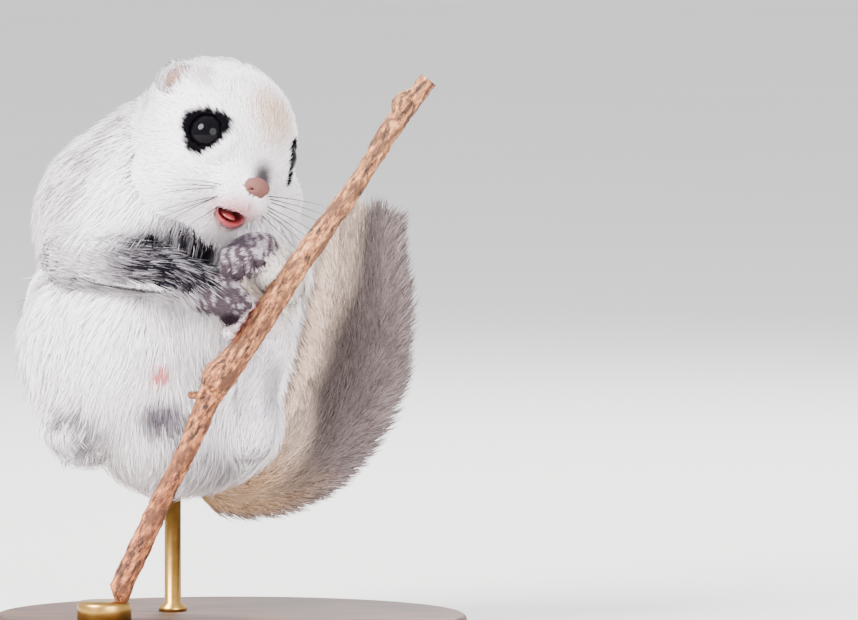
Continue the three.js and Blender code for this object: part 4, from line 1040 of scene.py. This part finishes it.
# Horn: brown and half glossy
claw_piece.data.materials.append(grained("horn of the claws", "3a3032", "8c7a74", 900.0, Roughness=0.35))

# Twig
# A cut twig with flaking bark, two knots and a broken stub. The bark's relief is in the mesh and its
# cracks, flakes and pale lichen in the material.


def bark_material():
    """Tan and orange-brown bark: a ramp of four browns over noise drawn out along the twig, worn darker in
    patches, redder near the foot, and rough from the same noise and from cells of flakes."""
    material, tree, shader = new_material("flaky bark", Roughness=0.85)
    spots = add_node(tree, "ShaderNodeTexCoord").outputs["Object"]
    drawn_out = {"Vector": spots, "Rotation": (0.0, 0.57, 0.0), "Scale": (1.0, 1.0, 3.0)}
    along = add_node(tree, "ShaderNodeMapping", {"vector_type": "TEXTURE"}, drawn_out).outputs["Vector"]
    broad = add_node(tree, "ShaderNodeTexNoise", None, {"Vector": along, "Scale": 330.0, "Detail": 4.0})
    grit = {"Vector": along, "Scale": 900.0, "Detail": 6.0, "Roughness": 0.7}
    fine = add_node(tree, "ShaderNodeTexNoise", None, grit)
    flakes = add_node(tree, "ShaderNodeTexVoronoi", None, {"Vector": spots, "Scale": 650.0})
    ramp = add_node(tree, "ShaderNodeValToRGB", None, {"Fac": fine.outputs["Fac"]})
    stops = ramp.color_ramp.elements
    stops[0].position, stops[0].color = 0.38, (*colour("1f1510"), 1)
    stops[1].position, stops[1].color = 0.67, (*colour("d9b48c"), 1)
    for position, code in ((0.46, "5f4430"), (0.54, "9d7650")):
        stop = stops.new(position)
        stop.color = (*colour(code), 1)
    worn_at = {"Value": broad.outputs["Fac"], "From Min": 0.5, "From Max": 0.66}
    worn = add_node(tree, "ShaderNodeMapRange", None, worn_at)
    browns = {"Factor": worn.outputs["Result"], "A": ramp.outputs["Color"], "B": (*colour("59402d"), 1)}
    mixed = add_node(tree, "ShaderNodeMix", {"data_type": "RGBA"}, browns)
    height = add_node(tree, "ShaderNodeSeparateXYZ", None, {"Vector": spots})
    rise = {"Value": height.outputs["Z"], "From Min": 0.04, "From Max": 0.1}
    share = add_node(tree, "ShaderNodeMapRange", None, rise)
    tones = {"Factor": share.outputs["Result"], "A": (0.95, 0.56, 0.4, 1), "B": (1.0, 0.74, 0.62, 1)}
    tone = add_node(tree, "ShaderNodeMix", {"data_type": "RGBA"}, tones)
    warm = {"Factor": 1.0, "A": mixed.outputs["Result"], "B": tone.outputs["Result"]}
    warmed = add_node(tree, "ShaderNodeMix", {"data_type": "RGBA", "blend_type": "MULTIPLY"}, warm)
    tree.links.new(warmed.outputs["Result"], shader.inputs["Base Color"])
    both = {0: fine.outputs["Fac"], 1: flakes.outputs["Distance"]}
    depth = add_node(tree, "ShaderNodeMath", {"operation": "ADD"}, both).outputs["Value"]
    relief = add_node(tree, "ShaderNodeBump", None, {"Height": depth, "Strength": 0.9, "Distance": 0.0004})
    tree.links.new(relief.outputs["Normal"], shader.inputs["Normal"])
    return material


TWIG_FOOT = 6.3  # height of the twig's flat foot
BARK_RELIEF = ((3.4, 0.6, 11), (1.2, 0.35, 12), (0.6, 0.18, 13))  # size, depth and seed of each roughness
KNOTS = ((1.5, (-2.4, -24, 65.2), (3.4, 5, 3)), (1.6, (41.4, -19, 130), (2.4, 4, 2.8)))


def twig_mesh(rings=420, sides=56):
    """The twig's surface: its round section swells at the knots and is roughened by noise."""
    shares = np.linspace(0.035, 1, rings)
    places, headings = curve_points(TWIG, shares)
    across = unit(np.cross(headings, [0, 1, 0]))
    through = np.cross(headings, across)
    turn = np.linspace(0, 2 * np.pi, sides, endpoint=False)
    width, thickness = size_at(TWIG, shares, 3), size_at(TWIG, shares, 4)
    rim = across[:, None] * np.cos(turn)[:, None] * width[:, None, None]
    rim = rim + through[:, None] * np.sin(turn)[:, None] * thickness[:, None, None]
    spots = (places[:, None] + rim).reshape(-1, 3)
    rough = sum(depth * (noise(spots, size, seed) - 0.5) for size, depth, seed in BARK_RELIEF)
    knots = sum(rise * blot(spots, at, half, 0.6) for rise, at, half in KNOTS)
    spots = spots + unit(rim.reshape(-1, 3)) * (rough + knots - 0.15)[:, None]
    spots[:, 2] = np.maximum(spots[:, 2], TWIG_FOOT)
    ends = [[places[0, 0], places[0, 1], TWIG_FOOT], places[-1]]
    return np.concatenate([spots, ends]), ring_faces(rings, sides)


def stub_mesh():
    """A short broken side shoot on the lower left of the big knot."""
    t = np.linspace(0, 1, 16)[:, None]
    line = np.array([-4.5, -23, 60.5]) + np.array([-4.7, -1.6, 0.3]) * t
    spots, faces = tapered(line, 1.25 * (1 - 0.35 * t[:, 0]), 20)
    return spots + 0.5 * (np.stack([noise(spots, 1.1, s) for s in (21, 22, 23)], axis=1) - 0.5), faces


twig = mesh_piece("twig_bark", *joined([twig_mesh(), stub_mesh()]))
twig.data.materials.append(bark_material())
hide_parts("twig")

# Display stand
# An oval base of dark turned wood, a brass rod up to the rump and a brass socket for the twig's foot.


def turned(profile, sides, stretch=(1.0, 1.0)):
    """A solid of revolution about Z from a profile of (radius, height), which starts and ends on the axis."""
    profile = np.asarray(profile, float)
    turn = np.linspace(0, 2 * np.pi, sides, endpoint=False)
    rim = profile[1:-1]
    across = np.outer(rim[:, 0], np.cos(turn)) * stretch[0]
    deep = np.outer(rim[:, 0], np.sin(turn)) * stretch[1]
    spots = np.stack([across, deep, np.repeat(rim[:, 1:], sides, axis=1)], axis=-1).reshape(-1, 3)
    ends = [[0, 0, profile[0, 1]], [0, 0, profile[-1, 1]]]
    return np.concatenate([spots, ends]), ring_faces(len(rim), sides)


def wood_material():
    """Dark hardwood with long grain, rubbed with oil."""
    material, tree, shader = new_material("oiled hardwood", Roughness=0.55, Specular_IOR_Level=0.3)
    spots = add_node(tree, "ShaderNodeTexCoord").outputs["Object"]
    stretch = add_node(tree, "ShaderNodeMapping", None, {"Vector": spots})
    stretch.inputs["Scale"].default_value = (1.0, 9.0, 9.0)
    pores = {"Vector": stretch.outputs["Vector"], "Scale": 60.0, "Detail": 6.0}
    grain = add_node(tree, "ShaderNodeTexNoise", None, pores)
    ramp = add_node(tree, "ShaderNodeValToRGB", None, {"Fac": grain.outputs["Fac"]})
    stops = ramp.color_ramp.elements
    stops[0].position, stops[0].color = 0.35, (*colour("2b1a12"), 1)
    stops[1].position, stops[1].color = 0.65, (*colour("5d3c28"), 1)
    tree.links.new(ramp.outputs["Color"], shader.inputs["Base Color"])
    shallow = {"Height": grain.outputs["Fac"], "Strength": 0.25, "Distance": 0.0002}
    relief = add_node(tree, "ShaderNodeBump", None, shallow)
    tree.links.new(relief.outputs["Normal"], shader.inputs["Normal"])
    return material


BASE_LONG, BASE_DEEP, BASE_THICK = 114.0, 84.0, 6.0


def base_profile(radius=0.5 * BASE_LONG, height=BASE_THICK, edge=1.6, steps=8):
    """The base's section: flat below, a rounded foot and shoulder, and flat on top."""
    turn = np.linspace(0, np.pi / 2, steps)
    foot = np.stack([radius - edge + edge * np.sin(turn), edge - edge * np.cos(turn)], axis=1)
    shoulder = np.stack([radius - edge + edge * np.cos(turn), height - edge + edge * np.sin(turn)], axis=1)
    return [(0, 0), *foot, *shoulder, (0, height)]


base = mesh_piece("base_plate", *turned(base_profile(), 160, (1.0, BASE_DEEP / BASE_LONG)))
base.data.materials.append(wood_material())
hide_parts("stand_base")

# Brushed brass: warm, with reflections drawn soft by the brush marks
BRASS = grained("brushed brass", "9a7434", "c39a55", 500.0, Roughness=0.32, Metallic=1.0)
ROD_AT, SOCKET_AT = [-14, 7, 0], [-29.6, -20, 0]  # on the base, in millimetres
rod = turned([(0, 6), (3.4, 6), (3.4, 7), (2.0, 8), (2.0, 38), (0, 38)], 48)
rod_piece = mesh_piece("rod", rod[0] + ROD_AT, rod[1])
collar = turned([(0, 6), (6.5, 6), (6.5, 10.2), (6.1, 11), (0, 11)], 64)
collar_piece = mesh_piece("socket", collar[0] + SOCKET_AT, collar[1])
for piece, node in ((rod_piece, "stand_rod"), (collar_piece, "stand_socket")):
    piece.data.materials.append(BRASS)
    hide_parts(node)

# Studio
# A pale floor, soft light from above and in front, and the photograph's camera.

floor_mesh = bpy.data.meshes.new("floor")
floor_mesh.from_pydata([(-6, -6, 0), (6, -6, 0), (6, 6, 0), (-6, 6, 0)], [], [(0, 1, 2, 3)])
floor = bpy.data.objects.new("floor", floor_mesh)
bpy.context.collection.objects.link(floor)
# Painted board: pale and dull
floor_mesh.materials.append(grained("pale floor", "d9d4d0", "dedad6", 4.0, Roughness=0.9))

DAYLIGHT = 3.1  # brightness of lamps and sky together

world = bpy.data.worlds.new("soft daylight")
world.use_nodes = True
world.node_tree.nodes["Background"].inputs["Color"].default_value = (0.93, 0.95, 1.0, 1)
world.node_tree.nodes["Background"].inputs["Strength"].default_value = 0.5 * DAYLIGHT
bpy.context.scene.world = world


def add_lamp(name, at, target, size, power, tint=(1, 1, 1)):
    """A round soft lamp at a place in metres, turned to its target and unseen by the camera."""
    lamp = bpy.data.lights.new(name, "AREA")
    lamp.shape = "DISK"
    lamp.size, lamp.energy, lamp.color = size, power * DAYLIGHT, tint
    holder = bpy.data.objects.new(name, lamp)
    holder.location = at
    aim = np.asarray(target, float) - np.asarray(at, float)
    holder.rotation_euler = Vector(aim).to_track_quat("-Z", "Y").to_euler()
    holder.visible_camera = False
    bpy.context.collection.objects.link(holder)


MIDDLE = (-0.01, 0, 0.08)
add_lamp("window above", (-0.7, -0.55, 0.75), MIDDLE, 0.6, 17.0, (1.0, 0.99, 0.98))
add_lamp("bounce in front", (0.45, -0.85, 0.3), MIDDLE, 0.7, 5.0, (1.0, 0.98, 0.96))
add_lamp("sky behind", (0.2, 0.6, 0.6), MIDDLE, 0.5, 4.0, (0.95, 0.97, 1.0))

CAMERA_TILT = np.radians(4.0)
CAMERA_AWAY = 2.2
PHOTO_PIXELS, PIXEL = 858, 0.24  # the photograph's width, and a pixel at the animal in millimetres
FRAME_WIDTH = PHOTO_PIXELS * PIXEL * MM
SENSOR = 36.0
camera = bpy.data.cameras.new("camera")
camera.sensor_width = SENSOR
camera.lens = SENSOR * CAMERA_AWAY / FRAME_WIDTH
camera.clip_start, camera.clip_end = 0.05, 50.0
holder = bpy.data.objects.new("camera", camera)
aim_at = np.array([47.8, 0.0, 79.2]) * MM
holder.location = aim_at - CAMERA_AWAY * np.array([0, np.cos(CAMERA_TILT), -np.sin(CAMERA_TILT)])
holder.rotation_euler = (np.pi / 2 - CAMERA_TILT, 0, 0)
bpy.context.collection.objects.link(holder)
bpy.context.scene.camera = holder
